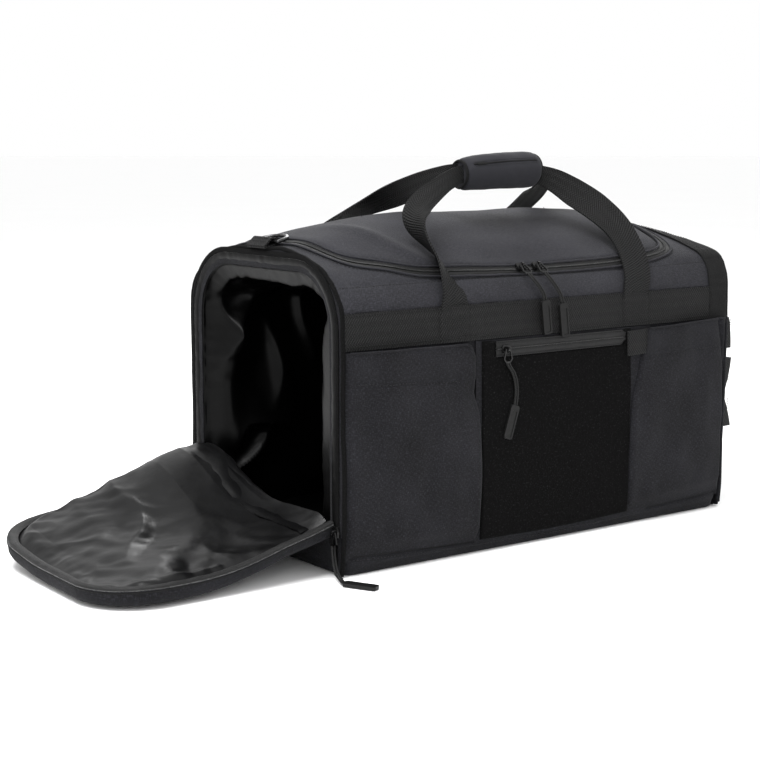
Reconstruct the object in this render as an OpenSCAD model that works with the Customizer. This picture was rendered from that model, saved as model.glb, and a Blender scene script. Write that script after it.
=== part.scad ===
// Soft-sided crew duffel with an end shoe compartment, shown with its end door dropped open.
// The origin is the middle of the base on the floor. +X points to the closed end with the
// webbing ladder, -X to the drop-down door, -Y to the front pockets and +Z up.

/* [Bag] */
// Length of the body between its two end faces
bag_length = 556; // [500:2:620]
// Width of the body from front to back
bag_width = 300; // [280:2:340]
// Height of the crown at mid-length
crown_height = 364; // [350:1:390]
// Height of the two end faces
end_height = 334; // [325:1:340]
// Radius of the long shoulders between the walls and the crown
shoulder_radius = 62; // [50:1:70]
// Thickness of a padded wall
wall = 4; // [3:0.5:5]
// Height of the wrapped-up edge of the base panel
base_edge = 18; // [12:1:24]

/* [Webbing] */
// Width of the main webbing
webbing_width = 38; // [30:1:40]
// Thickness of the main webbing
webbing_t = 2; // [1.5:0.1:2.2]
// Height of the upper edge of the front and back bands
band_top = 273; // [268:1:276]
// Distance of each handle leg from mid-length
leg_x = 135; // [125:1:140]
// Number of loops in a row of the end ladder
ladder_loops = 4; // [3:1:5]
// How far a ladder loop bulges away from the end panel
ladder_bulge = 13; // [10:1:14]

/* [Handles] */
// Height of the line where the two handles meet
handle_top = 424; // [415:1:430]
// How far that line leans forward of the middle
handle_lean = 60; // [50:1:70]
// Inside corner radius of the handle arch
handle_bend = 56; // [45:1:56]
// Length of the padded grip
grip_length = 112; // [110:1:126]
// Outer radius of the padded grip
grip_radius = 21; // [19:0.5:22]

/* [Lid] */
// Left edge of the lid
lid_left = -246; // [-248:1:-240]
// Right edge of the lid
lid_right = 228; // [215:1:230]
// Front edge of the lid
lid_front = -128; // [-129:1:-124]
// Rear edge of the lid, where it is hinged
lid_rear = 118; // [110:1:120]
// Corner radius at the lid's left front corner
lid_left_corner = 64; // [40:1:70]
// Corner radius at the lid's right front corner
lid_right_corner = 38; // [25:1:50]
// Width of each half of a zip
tape = 7; // [6:0.5:8]

/* [Door] */
// Half the width of the door opening
door_half = 130; // [120:1:130]
// Height of the door hinge above the floor
door_hinge_z = 55; // [53:1:57]
// Height of the top of the door opening
door_top = 312; // [300:1:312]
// Radius of the upper corners of the door opening
door_corner = 60; // [50:1:70]
// Depth of the door's gusset
door_depth = 18; // [16:0.5:19]
// Angle from closed to lying open on the floor
door_open = 98; // [97:0.5:98]

/* [Pockets] */
// Depth of a slip pocket
pocket_gap = 6.5; // [6:0.5:8]
// Height of the slip pockets' mouths
pocket_top = 229; // [220:1:232]
// Inner edge of the left slip pocket
left_pocket_x = -99; // [-110:1:-99]
// Inner edge of the right slip pocket
right_pocket_x = 150; // [149:1:160]

/* [Zip pulls] */
// Length of a moulded pull tab
tab_length = 38; // [34:1:40]
// Width of a moulded pull tab
tab_width = 12; // [9:0.5:12]
// Thickness of a moulded pull tab
tab_t = 3.4; // [3:0.2:4]
// Diameter of the pull cord
cord_d = 2.4; // [2:0.1:2.6]

/* [Hidden] */
$fn = 64;
half_l = bag_length / 2;
half_w = bag_width / 2;
skin = 1.5;
lining = 1.2;
gap = 0.6;
far = 900;
front_y = -half_w;

// The crown arc runs tangent into both shoulder arcs.
shoulder_y = half_w - shoulder_radius;
shoulder_z = 266;
shoulder_rise = crown_height - shoulder_z;
crown_radius = (pow(shoulder_y, 2) + pow(shoulder_rise, 2) - pow(shoulder_radius, 2))
             / (2 * (shoulder_rise - shoulder_radius));
crown_z = crown_height - crown_radius;
tangent = [shoulder_y, shoulder_z - crown_z] / (crown_radius - shoulder_radius);
zip_angle = atan2(tangent[0], tangent[1]);

// A long shallow arch brings the crown down to the end faces.
arch_over = 3;
arch_drop = crown_height + arch_over - end_height;
arch_radius = (pow(half_l, 2) + pow(arch_drop, 2)) / (2 * arch_drop);
arch_z = crown_height + arch_over - arch_radius;

// Each handle bends once where it leaves the side of the bag.
pivot_y = half_w + 3.5;
pivot_z = band_top + 1;
front_bend = [-(half_w - 7), band_top + 32];
rear_bend = [half_w - 22, band_top + 62];
meet = [-handle_lean, handle_top];
meet_gap = 2;
folded_webbing = webbing_width / 2;
handle_seam = 0.3;
grip_drop = 11;

door_hinge_x = -half_l - 2;
door_low = door_hinge_z + 1.2;
rim = 9;
liner_end = -60;
liner_floor = wall + 5;

ring_bar_x = -half_l + 6;
ring_bar_z = end_height + 6.2;
ring_wire = 2;
ring_reach = 22;
ladder_span = 280;
ladder_z = [215, 165, 117];
band_end = half_l - 25;

slider_w = 9;
slider_l = 13;
slider_t = 3.6;
lug_rise = 5.6;
ring_drop = 15;

// Where each slider sits: a point on its zip.
lid_slider_y = -tangent[0] * crown_radius - 2.2;
lid_slider_z = crown_z + tangent[1] * crown_radius - 2.2;
lid_left_x = -27;
lid_right_x = -3;
pocket_zip_z = 223;
pocket_zip_y = front_y - 4.8;
pocket_slider_x = -66;
door_slider_x = -half_l - 3.8;
door_slider_y = -146;
door_slider_z = 48;
ring_lean = 50;

// Cord routes: strand centre lines, from the pull ring to the tab.
lid_left_route = [[-27, -149, 302.4], [-25.5, -152.5, 298.5], [-22, -155.5, 293], [-17.5, -157.5, 286.5],
                  [-13.5, -158.4, 280], [-11.5, -158.4, 273]];
lid_right_route = [[-3, -149, 302.4], [-1, -152.5, 298], [3, -155.5, 291.5], [8, -157.5, 284],
                   [12.5, -158.4, 276], [15, -158.4, 268.5]];
pocket_route = [[-66, -160.4, 208], [-63, -160.4, 203], [-58, -160, 197], [-54, -159.6, 188],
                [-52, -159.2, 178], [-52, -158.8, 168], [-53, -158.4, 160]];
door_route = [[-287.5, -146, 34], [-287.5, -146.5, 27], [-287.8, -148, 20], [-288.5, -151, 13],
              [-289.5, -155, 8], [-291, -161.5, 5], [-292.5, -168, 3.2], [-294, -174.5, 2.2]];
strand_gap = 1.6;

function unit(v) = v / norm(v);

// ---- shared shapes ----

// Extrudes an outline drawn in Y and Z along X.
module along_x(x0, x1) {
  translate([x0, 0, 0]) rotate([90, 0, 90]) linear_extrude(x1 - x0) children();
}

// Extrudes an outline drawn in X and Z along Y.
module along_y(y0, y1) {
  translate([0, y1, 0]) rotate([90, 0, 0]) linear_extrude(y1 - y0) children();
}

module block(low, high) {
  translate(low) cube(high - low);
}

// The cross-section: upright walls, two shoulder arcs and the crown arc, inset all round.
module cross_section(inset) {
  touch = [tangent[0] * crown_radius, crown_z + tangent[1] * crown_radius];
  inner = touch - inset * tangent;
  side = half_w - inset;
  polygon([[-side, inset], [side, inset], [side, shoulder_z], inner, [-inner[0], inner[1]],
           [-side, shoulder_z]]);
  translate([shoulder_y, shoulder_z]) circle(shoulder_radius - inset);
  translate([-shoulder_y, shoulder_z]) circle(shoulder_radius - inset);
  intersection() {
    translate([0, crown_z]) circle(crown_radius - inset, $fn = 128);
    translate([-inner[0], inner[1] - 20]) square([2 * inner[0], 90]);
  }
}

// The solid outer form of the bag, made smaller by an inset.
module bag_form(inset) {
  intersection() {
    along_x(-half_l + inset, half_l - inset) cross_section(inset);
    along_y(-half_w - 5, half_w + 5) intersection() {
      translate([0, arch_z]) circle(arch_radius - inset, $fn = 256);
      translate([-half_l, 0]) square([bag_length, 420]);
    }
  }
}

module shell(outer, inner) {
  difference() {
    bag_form(outer);
    bag_form(inner);
  }
}

// The lid's outline from above, grown outwards at its front and both sides.
module lid_outline(grow, rear) {
  left = lid_left - grow;
  right = lid_right + grow;
  front = lid_front - grow;
  left_r = lid_left_corner + grow;
  right_r = lid_right_corner + grow;
  polygon([[left, rear], [left, front + left_r], [left + left_r, front],
           [right - right_r, front], [right, front + right_r], [right, rear]]);
  translate([left + left_r, front + left_r]) circle(left_r);
  translate([right - right_r, front + right_r]) circle(right_r);
}

module lid_prism(grow, rear) {
  translate([0, 0, 200]) linear_extrude(220) lid_outline(grow, rear);
}

// The door's outline in Y and Z, from a lower edge up to two round upper corners.
module door_outline(grow, low) {
  half = door_half + grow;
  top = door_top + grow;
  r = door_corner + grow;
  polygon([[-half, low], [half, low], [half, top - r], [half - r, top], [r - half, top],
           [-half, top - r]]);
  translate([half - r, top - r]) circle(r);
  translate([r - half, top - r]) circle(r);
}

// The outline of an end face, inset, with the crown cut off level.
module end_outline(inset) {
  intersection() {
    cross_section(inset);
    translate([-half_w, 3]) square([bag_width, end_height - inset - 3]);
  }
}

// ---- body ----

module base_panel() {
  color("#26262a") intersection() {
    shell(0, wall);
    block([-far, -far, 0], [far, far, base_edge]);
  }
}

module base_board() {
  color("#15151a") block([-half_l + 8, -half_w + 8, wall], [half_l - 8, half_w - 8, wall + 3]);
}

module wall_slab(side) {
  x = half_l - wall;
  low = side < 0 ? -half_w : half_w - wall;
  block([-x, low, base_edge], [x, low + wall, shoulder_z]);
}

module front_panel() {
  color("#2c2c31") wall_slab(-1);
}

module back_panel() {
  color("#2c2c31") wall_slab(1);
}

module right_end_panel() {
  color("#2a2a2f") intersection() {
    bag_form(0);
    block([half_l - wall, -far, base_edge], [half_l, far, 500]);
  }
}

module left_end_frame() {
  color("#2a2a2f") difference() {
    intersection() {
      bag_form(0);
      block([-half_l, -far, base_edge], [-half_l + wall, far, 500]);
    }
    along_x(-half_l - 1, -half_l + wall + 1) door_outline(0, door_hinge_z);
  }
}

module top_deck() {
  x = half_l - wall;
  color("#303036") difference() {
    intersection() {
      shell(0, wall);
      block([-x, -far, shoulder_z], [x, far, 500]);
    }
    lid_prism(tape + gap, lid_rear + gap);
  }
}

module main_lining() {
  floor_z = wall + 3;
  color("#121215") difference() {
    intersection() {
      bag_form(wall);
      block([-far, -far, floor_z], [far, far, 500]);
    }
    intersection() {
      bag_form(wall + lining);
      block([-far, -far, floor_z + lining], [far, far, 500]);
    }
    lid_prism(tape + gap, lid_rear + gap);
    along_x(-half_l, -half_l + 20) door_outline(0, liner_floor - 0.4);
  }
}

module shoe_tunnel_liner() {
  color("#101013") difference() {
    along_x(-half_l + wall, liner_end) door_outline(-0.4, liner_floor);
    along_x(-half_l, liner_end - skin) door_outline(-0.4 - skin, liner_floor + skin);
  }
}

module band(side) {
  low = side < 0 ? -half_w - webbing_t : half_w;
  block([-half_l, low, band_top - webbing_width], [band_end, low + webbing_t, band_top]);
}

module front_band() {
  color("#1d1d1f") band(-1);
}

module back_band() {
  color("#1d1d1f") band(1);
}

module left_end_piping() {
  color("#232326") along_x(-half_l - 3.5, -half_l) difference() {
    end_outline(0);
    end_outline(5);
  }
}

module right_end_binding() {
  color("#232326") intersection() {
    shell(-webbing_t, 0);
    block([band_end, -far, band_top - webbing_width], [half_l, far, 500]);
  }
}

// ---- front face ----

module slip_pocket(x0, x1) {
  y0 = front_y - pocket_gap - skin;
  difference() {
    block([x0, y0, base_edge], [x1, front_y, pocket_top]);
    block([x0 + skin, y0 + skin, base_edge + skin], [x1 - skin, front_y + 1, pocket_top + 1]);
  }
}

module left_slip_pocket() {
  color("#2c2c31") slip_pocket(-half_l, left_pocket_x);
}

module right_slip_pocket() {
  color("#2c2c31") slip_pocket(right_pocket_x, half_l);
}

module zip_pocket_panel() {
  color("#2a2a2f") block([-98, front_y - webbing_t, base_edge], [127, front_y, 233]);
}

module loop_panel() {
  color("#141416") block([-94, front_y - 3.6, 24], [124, front_y - webbing_t, 211]);
}

module pocket_zip_tape() {
  color("#1a1a1c") {
    block([-76, front_y - 3, 215], [112, front_y - webbing_t, 231]);
    block([-74, front_y - 4.4, 221.5], [110, front_y - 3, 224.5]);
  }
}

module webbing_tab() {
  color("#1b1b1d") block([129, front_y - 3, 199], [149, front_y, 235]);
}

// ---- zips on the body ----

module deck_zip_tape() {
  color("#1a1a1c") difference() {
    intersection() {
      shell(1, 3);
      lid_prism(tape + gap, lid_rear);
    }
    lid_prism(gap, lid_rear + 1);
  }
}

module frame_zip_tape() {
  color("#1a1a1c") along_x(-half_l - 1.2, -half_l) difference() {
    door_outline(rim, door_hinge_z);
    door_outline(0, door_hinge_z - 1);
  }
}

// ---- shoulder strap rings ----

module d_ring() {
  rotate([90, 0, 0]) cylinder(r = ring_wire, h = 2 * ring_reach, center = true);
  rotate([0, 0, -90]) rotate_extrude(angle = 180) translate([ring_reach, 0]) circle(ring_wire, $fn = 24);
  translate([0, ring_reach, 0]) sphere(ring_wire, $fn = 24);
  translate([0, -ring_reach, 0]) sphere(ring_wire, $fn = 24);
}

// A webbing loop round the ring's bar, with a foot that is sewn down.
module ring_loop(foot) {
  bore = ring_wire + 0.5;
  wide = 2 * ring_reach - 7;
  difference() {
    rotate([90, 0, 0]) cylinder(r = bore + skin, h = wide, center = true);
    rotate([90, 0, 0]) cylinder(r = bore, h = wide + 2, center = true);
  }
  block([bore + 0.2, -wide / 2, -bore - skin], [foot, wide / 2, -bore + 0.3]);
}

// The left ring lies on the deck, along its slope.
module at_left_ring() {
  translate([ring_bar_x, 0, ring_bar_z]) rotate([0, -12.5, 0]) children();
}

module left_ring_tab() {
  color("#1b1b1d") at_left_ring() mirror([1, 0, 0]) ring_loop(9);
}

module left_ring() {
  color("#3a3a3d") at_left_ring() d_ring();
}

// The right ring hangs against the end panel.
module at_right_ring() {
  translate([half_l + 4.1, 0, 297]) rotate([0, 90, 0]) children();
}

module right_ring_tab() {
  color("#1b1b1d") at_right_ring() mirror([1, 0, 0]) ring_loop(26);
}

module right_ring() {
  color("#3a3a3d") at_right_ring() d_ring();
}

// ---- end ladder ----

// One row of webbing, sewn down between loops that bulge away from the panel.
module ladder_row(z) {
  chord = ladder_span / ladder_loops;
  arc_r = (pow(chord / 2, 2) + pow(ladder_bulge, 2)) / (2 * ladder_bulge);
  color("#1b1b1d") translate([half_l, 0, z - webbing_width / 2])
    linear_extrude(webbing_width) intersection() {
      for (i = [0:ladder_loops - 1]) {
        translate([ladder_bulge - arc_r, (i + 0.5) * chord - ladder_span / 2]) difference() {
          circle(arc_r, $fn = 96);
          circle(arc_r - webbing_t, $fn = 96);
          translate([-2 * arc_r, -arc_r]) square([3 * arc_r - ladder_bulge, 2 * arc_r]);
        }
      }
      translate([0, -ladder_span / 2]) square([ladder_bulge + 1, ladder_span]);
    }
}

module ladder_row_top() {
  ladder_row(ladder_z[0]);
}

module ladder_row_middle() {
  ladder_row(ladder_z[1]);
}

module ladder_row_bottom() {
  ladder_row(ladder_z[2]);
}

// ---- door ----

// Draws closed-door geometry about its hinge and lays it open on the floor.
module at_door() {
  translate([door_hinge_x, 0, door_hinge_z]) rotate([0, -door_open, 0])
    translate([-door_hinge_x, 0, -door_hinge_z]) children();
}

module door_layer(near, away, grow, low) {
  at_door() along_x(door_hinge_x - away, door_hinge_x - near) door_outline(grow, low);
}

module door_panel() {
  color("#2a2a2f") door_layer(door_depth - 2, door_depth, rim, door_low);
}

module door_foam() {
  color("#17171a") door_layer(9, door_depth - 2, rim - 2.5, door_low + 2.4);
}

module door_liner() {
  color("#1c1c20") door_layer(7.5, 9, rim - 2.5, door_low + 2.4);
}

module door_gusset() {
  color("#29292e") at_door() along_x(door_hinge_x - door_depth + 2, door_hinge_x - 1.4) difference() {
    door_outline(rim, door_low);
    door_outline(rim - 2, door_low + 2);
  }
}

module door_zip_tape() {
  color("#1a1a1c") at_door() along_x(door_hinge_x - 1.4, door_hinge_x - 0.2) difference() {
    door_outline(rim, door_hinge_z + 1);
    door_outline(0, door_hinge_z);
  }
}

// ---- lid ----

module lid_panel() {
  color("#34343a") intersection() {
    shell(0, 3);
    lid_prism(-tape, lid_rear);
  }
}

module lid_lining() {
  color("#141417") intersection() {
    shell(3, wall);
    lid_prism(-tape, lid_rear);
  }
}

module lid_zip_tape() {
  color("#1a1a1c") difference() {
    intersection() {
      shell(1, 3);
      lid_prism(0, lid_rear);
    }
    lid_prism(-tape, lid_rear + 1);
  }
}

// ---- handles ----

// A flat arch on two springing lines: round corners and a folded bar inside the grip.
module arch(spring) {
  outer_r = handle_bend + webbing_width;
  centre_x = leg_x - webbing_width / 2 - handle_bend;
  for (half = [0, 1]) mirror([half, 0]) difference() {
    union() {
      translate([-0.01, spring]) square([centre_x + 0.01, outer_r]);
      intersection() {
        translate([centre_x, spring]) circle(outer_r);
        translate([centre_x, spring]) square(outer_r + 1);
      }
    }
    translate([centre_x, spring]) circle(handle_bend);
    translate([-1, spring - 1]) square([centre_x + 1, handle_bend + 1]);
    translate([-1, spring - 1]) square([grip_length / 2 + 3, outer_r - folded_webbing + 1]);
  }
}

// A handle whose legs rise from the pivot to a mitred bend. Its arch is stitched on above them.
module handle(base, bend, meet_point) {
  lower = unit(bend - base);
  upper = unit(meet_point - bend);
  spring = norm(meet_point - bend) - meet_gap - handle_bend - webbing_width;
  side = webbing_t / 2 * [-lower[1], lower[0]];
  upper_side = webbing_t / 2 * [-upper[1], upper[0]];
  mitre = (side + upper_side) / (1 + lower * upper);
  start = base + 1.6 * lower;
  end = bend + (spring - handle_seam) * upper;
  for (half = [0, 1]) mirror([half, 0, 0])
    along_x(leg_x - webbing_width / 2, leg_x + webbing_width / 2)
      polygon([start + side, bend + mitre, end + upper_side, end - upper_side, bend - mitre,
               start - side]);
  translate([0, bend[0], bend[1]]) rotate([atan2(upper[1], upper[0]), 0, 0])
    translate([0, 0, -webbing_t / 2]) linear_extrude(webbing_t) arch(spring);
}

module front_handle() {
  color("#1d1d1f") handle([-pivot_y, pivot_z], front_bend, meet);
}

module rear_handle() {
  color("#1d1d1f") handle([pivot_y, pivot_z], rear_bend, meet);
}

// The way out of the grip for the front handle: a slot that opens forwards and down.
module grip_slot(half_l_slot) {
  front_dir = unit(front_bend - meet);
  mid = meet + front_dir * (folded_webbing / 2 + meet_gap);
  centre_line = meet - [0, pivot_z];
  out = unit([-centre_line[1], centre_line[0]]);
  along_x(-half_l_slot, half_l_slot) translate(mid) rotate(atan2(out[1], out[0]))
    translate([-9, -11]) square([60, 22]);
}

// The space that the rear handle's folded bar fills inside the grip.
module rear_bar_space(half_l_slot) {
  rear_dir = unit(rear_bend - meet);
  along_x(-half_l_slot, half_l_slot) translate(meet) rotate(atan2(rear_dir[1], rear_dir[0]))
    translate([0, -webbing_t / 2 - 0.1]) square([folded_webbing + meet_gap + 0.2, webbing_t + 0.2]);
}

module grip_tube(outer, inner) {
  half = grip_length / 2;
  difference() {
    translate([-half, meet[0], meet[1] - grip_drop]) rotate([0, 90, 0]) difference() {
      cylinder(r = outer, h = grip_length);
      translate([0, 0, -1]) cylinder(r = inner, h = grip_length + 2);
    }
    grip_slot(half + 1);
    rear_bar_space(half + 1);
  }
}

module grip_foam() {
  color("#101012") grip_tube(grip_radius - 2, 3);
}

module grip_wrap() {
  color("#2b2b30") grip_tube(grip_radius, grip_radius - 2);
}

// ---- zip sliders and pulls ----

// A slider with its travel along X and its lug rising along +Z from its base.
module slider(lug_turn) {
  color("#303033") {
    linear_extrude(slider_t) intersection() {
      polygon([[-slider_l / 2, -slider_w / 2], [1, -slider_w / 2], [slider_l / 2, -2.6],
               [slider_l / 2, 2.6], [1, slider_w / 2], [-slider_l / 2, slider_w / 2]]);
      circle(slider_l / 2 + 0.4);
    }
    rotate([0, 0, lug_turn]) translate([-1.1, 0, 0]) rotate([90, 0, 90]) linear_extrude(2.2) difference() {
      union() {
        translate([-2.6, slider_t]) square([5.2, lug_rise - slider_t]);
        translate([0, lug_rise]) circle(2.6);
      }
      translate([0, lug_rise]) circle(1.5);
    }
  }
}

// A flat wire ring that hangs from a square bar along X at the origin.
module pull_ring() {
  color("#39393c") rotate([90, 0, 0]) translate([0, 0, -0.8]) linear_extrude(1.6) difference() {
    polygon([[-3.6, 0.8], [3.6, 0.8], [6.4, -11], [3.2, -ring_drop], [-3.2, -ring_drop],
             [-6.4, -11]]);
    polygon([[-2.2, -0.8], [2.2, -0.8], [4.6, -10.6], [2.4, 1.8 - ring_drop],
             [-2.4, 1.8 - ring_drop], [-4.6, -10.6]]);
  }
}

// A moulded tab with a raised rim, hanging from the middle of its upper edge.
module pull_tab() {
  half = tab_width / 2;
  r = 3;
  color("#1e1e20") rotate([90, 0, 0]) translate([0, -tab_length, -tab_t / 2]) difference() {
    linear_extrude(tab_t) rounded([-half, 0], [half, tab_length], r);
    translate([0, 0, tab_t - 0.6]) linear_extrude(1)
      rounded([2 - half, 2], [half - 2, tab_length - 6], r - 1.4);
  }
}

module rounded(low, high, r) {
  translate([low[0] + r, low[1]]) square([high[0] - low[0] - 2 * r, high[1] - low[1]]);
  translate([low[0], low[1] + r]) square([high[0] - low[0], high[1] - low[1] - 2 * r]);
  for (x = [low[0] + r, high[0] - r]) {
    for (y = [low[1] + r, high[1] - r]) {
      translate([x, y]) circle(r, $fn = 24);
    }
  }
}

// A round cord swept along a route, eight-sided.
module tube(route, d) {
  sides = 8;
  last = len(route) - 1;
  rings = [for (i = [0:last])
    let (along = unit(route[min(i + 1, last)] - route[max(i - 1, 0)]),
         across = unit(cross(along, [1, 0, 0])),
         third = cross(along, across))
    [for (k = [0:sides - 1])
      route[i] + d / 2 * (cos(k * 360 / sides) * across + sin(k * 360 / sides) * third)]];
  points = [for (ring = rings) for (p = ring) p];
  walls = [for (i = [0:last - 1]) for (k = [0:sides - 1])
    let (a = i * sides + k, b = i * sides + (k + 1) % sides)
    each [[a, a + sides, b], [b, a + sides, b + sides]]];
  caps = [[for (k = [0:sides - 1]) k], [for (k = [sides - 1:-1:0]) last * sides + k]];
  polyhedron(points, concat(walls, caps));
}

// The two strands of a pull cord, side by side along one route.
module cord_pair(route, aside) {
  color("#1a1a1b") for (side = [-1, 1]) {
    tube([for (p = route) p + side * strand_gap * aside], cord_d);
  }
}

module at_lid_slider(x) {
  translate([x, lid_slider_y, lid_slider_z]) rotate([zip_angle, 0, 0]) children();
}

module at_lid_ring(x) {
  at_lid_slider(x) translate([0, 0, lug_rise]) rotate([-ring_lean - zip_angle, 0, 0]) children();
}

module lid_left_slider() {
  at_lid_slider(lid_left_x) slider(0);
}

module lid_left_pull_ring() {
  at_lid_ring(lid_left_x) pull_ring();
}

module lid_left_cord() {
  cord_pair(lid_left_route, [1, 0, 0]);
}

module lid_left_tab() {
  translate(lid_left_route[5]) rotate([0, -7, 0]) pull_tab();
}

module lid_right_slider() {
  at_lid_slider(lid_right_x) slider(0);
}

module lid_right_pull_ring() {
  at_lid_ring(lid_right_x) pull_ring();
}

module lid_right_cord() {
  cord_pair(lid_right_route, [1, 0, 0]);
}

module lid_right_tab() {
  translate(lid_right_route[5]) rotate([0, -7, 0]) pull_tab();
}

module at_pocket_slider() {
  translate([pocket_slider_x, pocket_zip_y, pocket_zip_z]) rotate([90, 0, 0]) children();
}

module pocket_slider() {
  at_pocket_slider() slider(0);
}

module pocket_pull_ring() {
  translate([pocket_slider_x, pocket_zip_y - lug_rise, pocket_zip_z]) pull_ring();
}

module pocket_cord() {
  cord_pair(pocket_route, [1, 0, 0]);
}

module pocket_tab() {
  translate(pocket_route[6]) rotate([0, 18, 0]) pull_tab();
}

module door_slider() {
  translate([door_slider_x, door_slider_y, door_slider_z]) rotate([0, -90, 0]) slider(90);
}

module door_pull_ring() {
  translate([door_slider_x - lug_rise, door_slider_y, door_slider_z]) rotate([0, 0, 90]) pull_ring();
}

module door_cord() {
  cord_pair(door_route, [1, 0, 0]);
}

module door_tab() {
  translate(door_route[7]) rotate([0, 0, 27]) rotate([-90, 0, 0]) pull_tab();
}

base_panel();
base_board();
front_panel();
back_panel();
right_end_panel();
left_end_frame();
top_deck();
main_lining();
shoe_tunnel_liner();
front_band();
back_band();
left_end_piping();
right_end_binding();
left_slip_pocket();
right_slip_pocket();
zip_pocket_panel();
loop_panel();
pocket_zip_tape();
webbing_tab();
deck_zip_tape();
frame_zip_tape();
left_ring_tab();
right_ring_tab();
ladder_row_top();
ladder_row_middle();
ladder_row_bottom();
left_ring();
right_ring();
door_panel();
door_foam();
door_liner();
door_gusset();
door_zip_tape();
lid_panel();
lid_lining();
lid_zip_tape();
front_handle();
rear_handle();
grip_foam();
grip_wrap();
lid_left_slider();
lid_left_pull_ring();
lid_left_cord();
lid_left_tab();
lid_right_slider();
lid_right_pull_ring();
lid_right_cord();
lid_right_tab();
pocket_slider();
pocket_pull_ring();
pocket_cord();
pocket_tab();
door_slider();
door_pull_ring();
door_cord();
door_tab();
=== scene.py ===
"""Looks of a soft-sided crew duffel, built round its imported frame.

Shapes are worked out in millimetres in the frame's own axes: +X to the closed end, -Y to the front
pockets, +Z up, with the origin on the floor under the middle of the bag.
"""
import math

import bmesh
import bpy
import numpy as np
from mathutils import Matrix, Vector


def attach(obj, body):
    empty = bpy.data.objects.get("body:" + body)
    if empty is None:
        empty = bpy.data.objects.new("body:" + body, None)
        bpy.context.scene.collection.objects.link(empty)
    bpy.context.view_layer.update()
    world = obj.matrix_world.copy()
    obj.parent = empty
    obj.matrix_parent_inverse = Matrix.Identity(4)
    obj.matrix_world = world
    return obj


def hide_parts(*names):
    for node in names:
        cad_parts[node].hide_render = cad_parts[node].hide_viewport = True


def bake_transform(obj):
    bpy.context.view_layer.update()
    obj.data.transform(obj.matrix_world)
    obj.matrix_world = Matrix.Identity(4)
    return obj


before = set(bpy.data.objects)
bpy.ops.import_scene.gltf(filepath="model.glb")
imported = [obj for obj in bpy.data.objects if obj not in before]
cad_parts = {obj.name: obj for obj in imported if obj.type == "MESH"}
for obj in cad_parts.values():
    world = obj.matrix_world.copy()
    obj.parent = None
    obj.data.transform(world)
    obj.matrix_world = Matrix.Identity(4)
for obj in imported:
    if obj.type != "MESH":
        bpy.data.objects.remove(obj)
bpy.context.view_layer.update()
MM = 0.001
TAU = 2 * math.pi

HALF_L = 278.0
HALF_W = 150.0
# How far the front right corner stands out past the CAD model's walls
CORNER_PUSH = 8
LEG_X = 135.0
DOOR_X = 280.0
# The index s round a cross-section: its values at the crown and at the end, and roughly the
# millimetres in one step of it
CROWN, ROUND, STEP = 11, 22, 22


# ---- smooth noise ----
_draw = np.random.RandomState(11)
_perm = np.tile(_draw.permutation(256), 3)
_grad = _draw.normal(size=(256, 3))
_grad /= np.linalg.norm(_grad, axis=1)[:, None]


def noise(p, size, seed):
    """Gradient noise, about -1 to 1, at points p or a tuple (x, y, z), with features size mm wide."""
    if isinstance(p, tuple):
        p = np.stack(np.broadcast_arrays(*p), -1)
    p = np.asarray(p, float) / size + seed * 17.31
    cell = np.floor(p).astype(int)
    f = p - cell
    w = f * f * f * (f * (f * 6 - 15) + 10)
    total = np.zeros(p.shape[:-1])
    for corner in range(8):
        step = np.array([corner & 1, corner >> 1 & 1, corner >> 2])
        c = (cell + step) & 255
        g = _grad[_perm[_perm[_perm[c[..., 0]] + c[..., 1]] + c[..., 2]]]
        weight = np.prod(np.where(step, w, 1 - w), axis=-1)
        total += weight * np.sum(g * (f - step), axis=-1)
    return total * 1.6


def ramp(a, b, x):
    """0 below a, 1 above b, smooth between."""
    t = np.clip((np.asarray(x, float) - a) / (b - a), 0, 1)
    return t * t * (3 - 2 * t)


def hill(x, at, width):
    """A bell 1 high at one place, and falling away over a width on both sides."""
    return np.exp(-(((np.asarray(x, float) - at) / width) ** 2))


def spline(points, count):
    """A smooth curve through points, at count even steps along it."""
    p = np.asarray(points, float)
    p = np.vstack([2 * p[0] - p[1], p, 2 * p[-1] - p[-2]])
    t = np.linspace(0, len(p) - 3 - 1e-9, max(8 * len(p), 4 * count))
    i = t.astype(int)
    f = (t - i)[:, None]
    a, b, c, d = p[i], p[i + 1], p[i + 2], p[i + 3]
    return even(cubic(a, b, c, d, f), count)


def cubic(a, b, c, d, f):
    """The Catmull-Rom curve between b and c at a fraction f."""
    return 0.5 * (2 * b + (c - a) * f + (2 * a - 5 * b + 4 * c - d) * f**2 + (3 * b - a - 3 * c + d) * f**3)


def walked(path):
    """Distance along a path, at each of its points."""
    return np.concatenate([[0], np.cumsum(np.linalg.norm(np.diff(path, axis=0), axis=1))])


def sample(values, far, at):
    """Rows of values, known at distances far, looked up at others."""
    return np.stack([np.interp(at, far, column) for column in values.T], 1)


def even(path, count):
    """A path's points at count even steps along it."""
    far = walked(path)
    return sample(path, far, np.linspace(0, far[-1], count))


def smooth(values, width):
    """Each column averaged over a run of width rows, its two ends left alone."""
    half = width // 2
    out = values.copy()
    for k in range(values.shape[1]):
        out[half:-half, k] = np.convolve(values[:, k], np.ones(width) / width, "valid")
    return out


def lattice(u, v):
    return np.meshgrid(u, v, indexing="ij")


def place(x, y, z):
    """Points from numbers or arrays of x, y and z."""
    return np.stack(np.broadcast_arrays(x, y, z), -1).astype(float)


def unit(v):
    return v / np.maximum(np.linalg.norm(v, axis=-1, keepdims=True), 1e-9)


def steps(P, axis):
    """Distance walked along one axis of a grid of points, in metres."""
    d = np.linalg.norm(np.diff(P, axis=axis), axis=-1)
    d = d.mean(axis=1 - axis)
    return np.concatenate([[0], np.cumsum(d)]) * MM


def normals(P):
    return unit(np.cross(np.gradient(P, axis=0), np.gradient(P, axis=1)))


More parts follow.
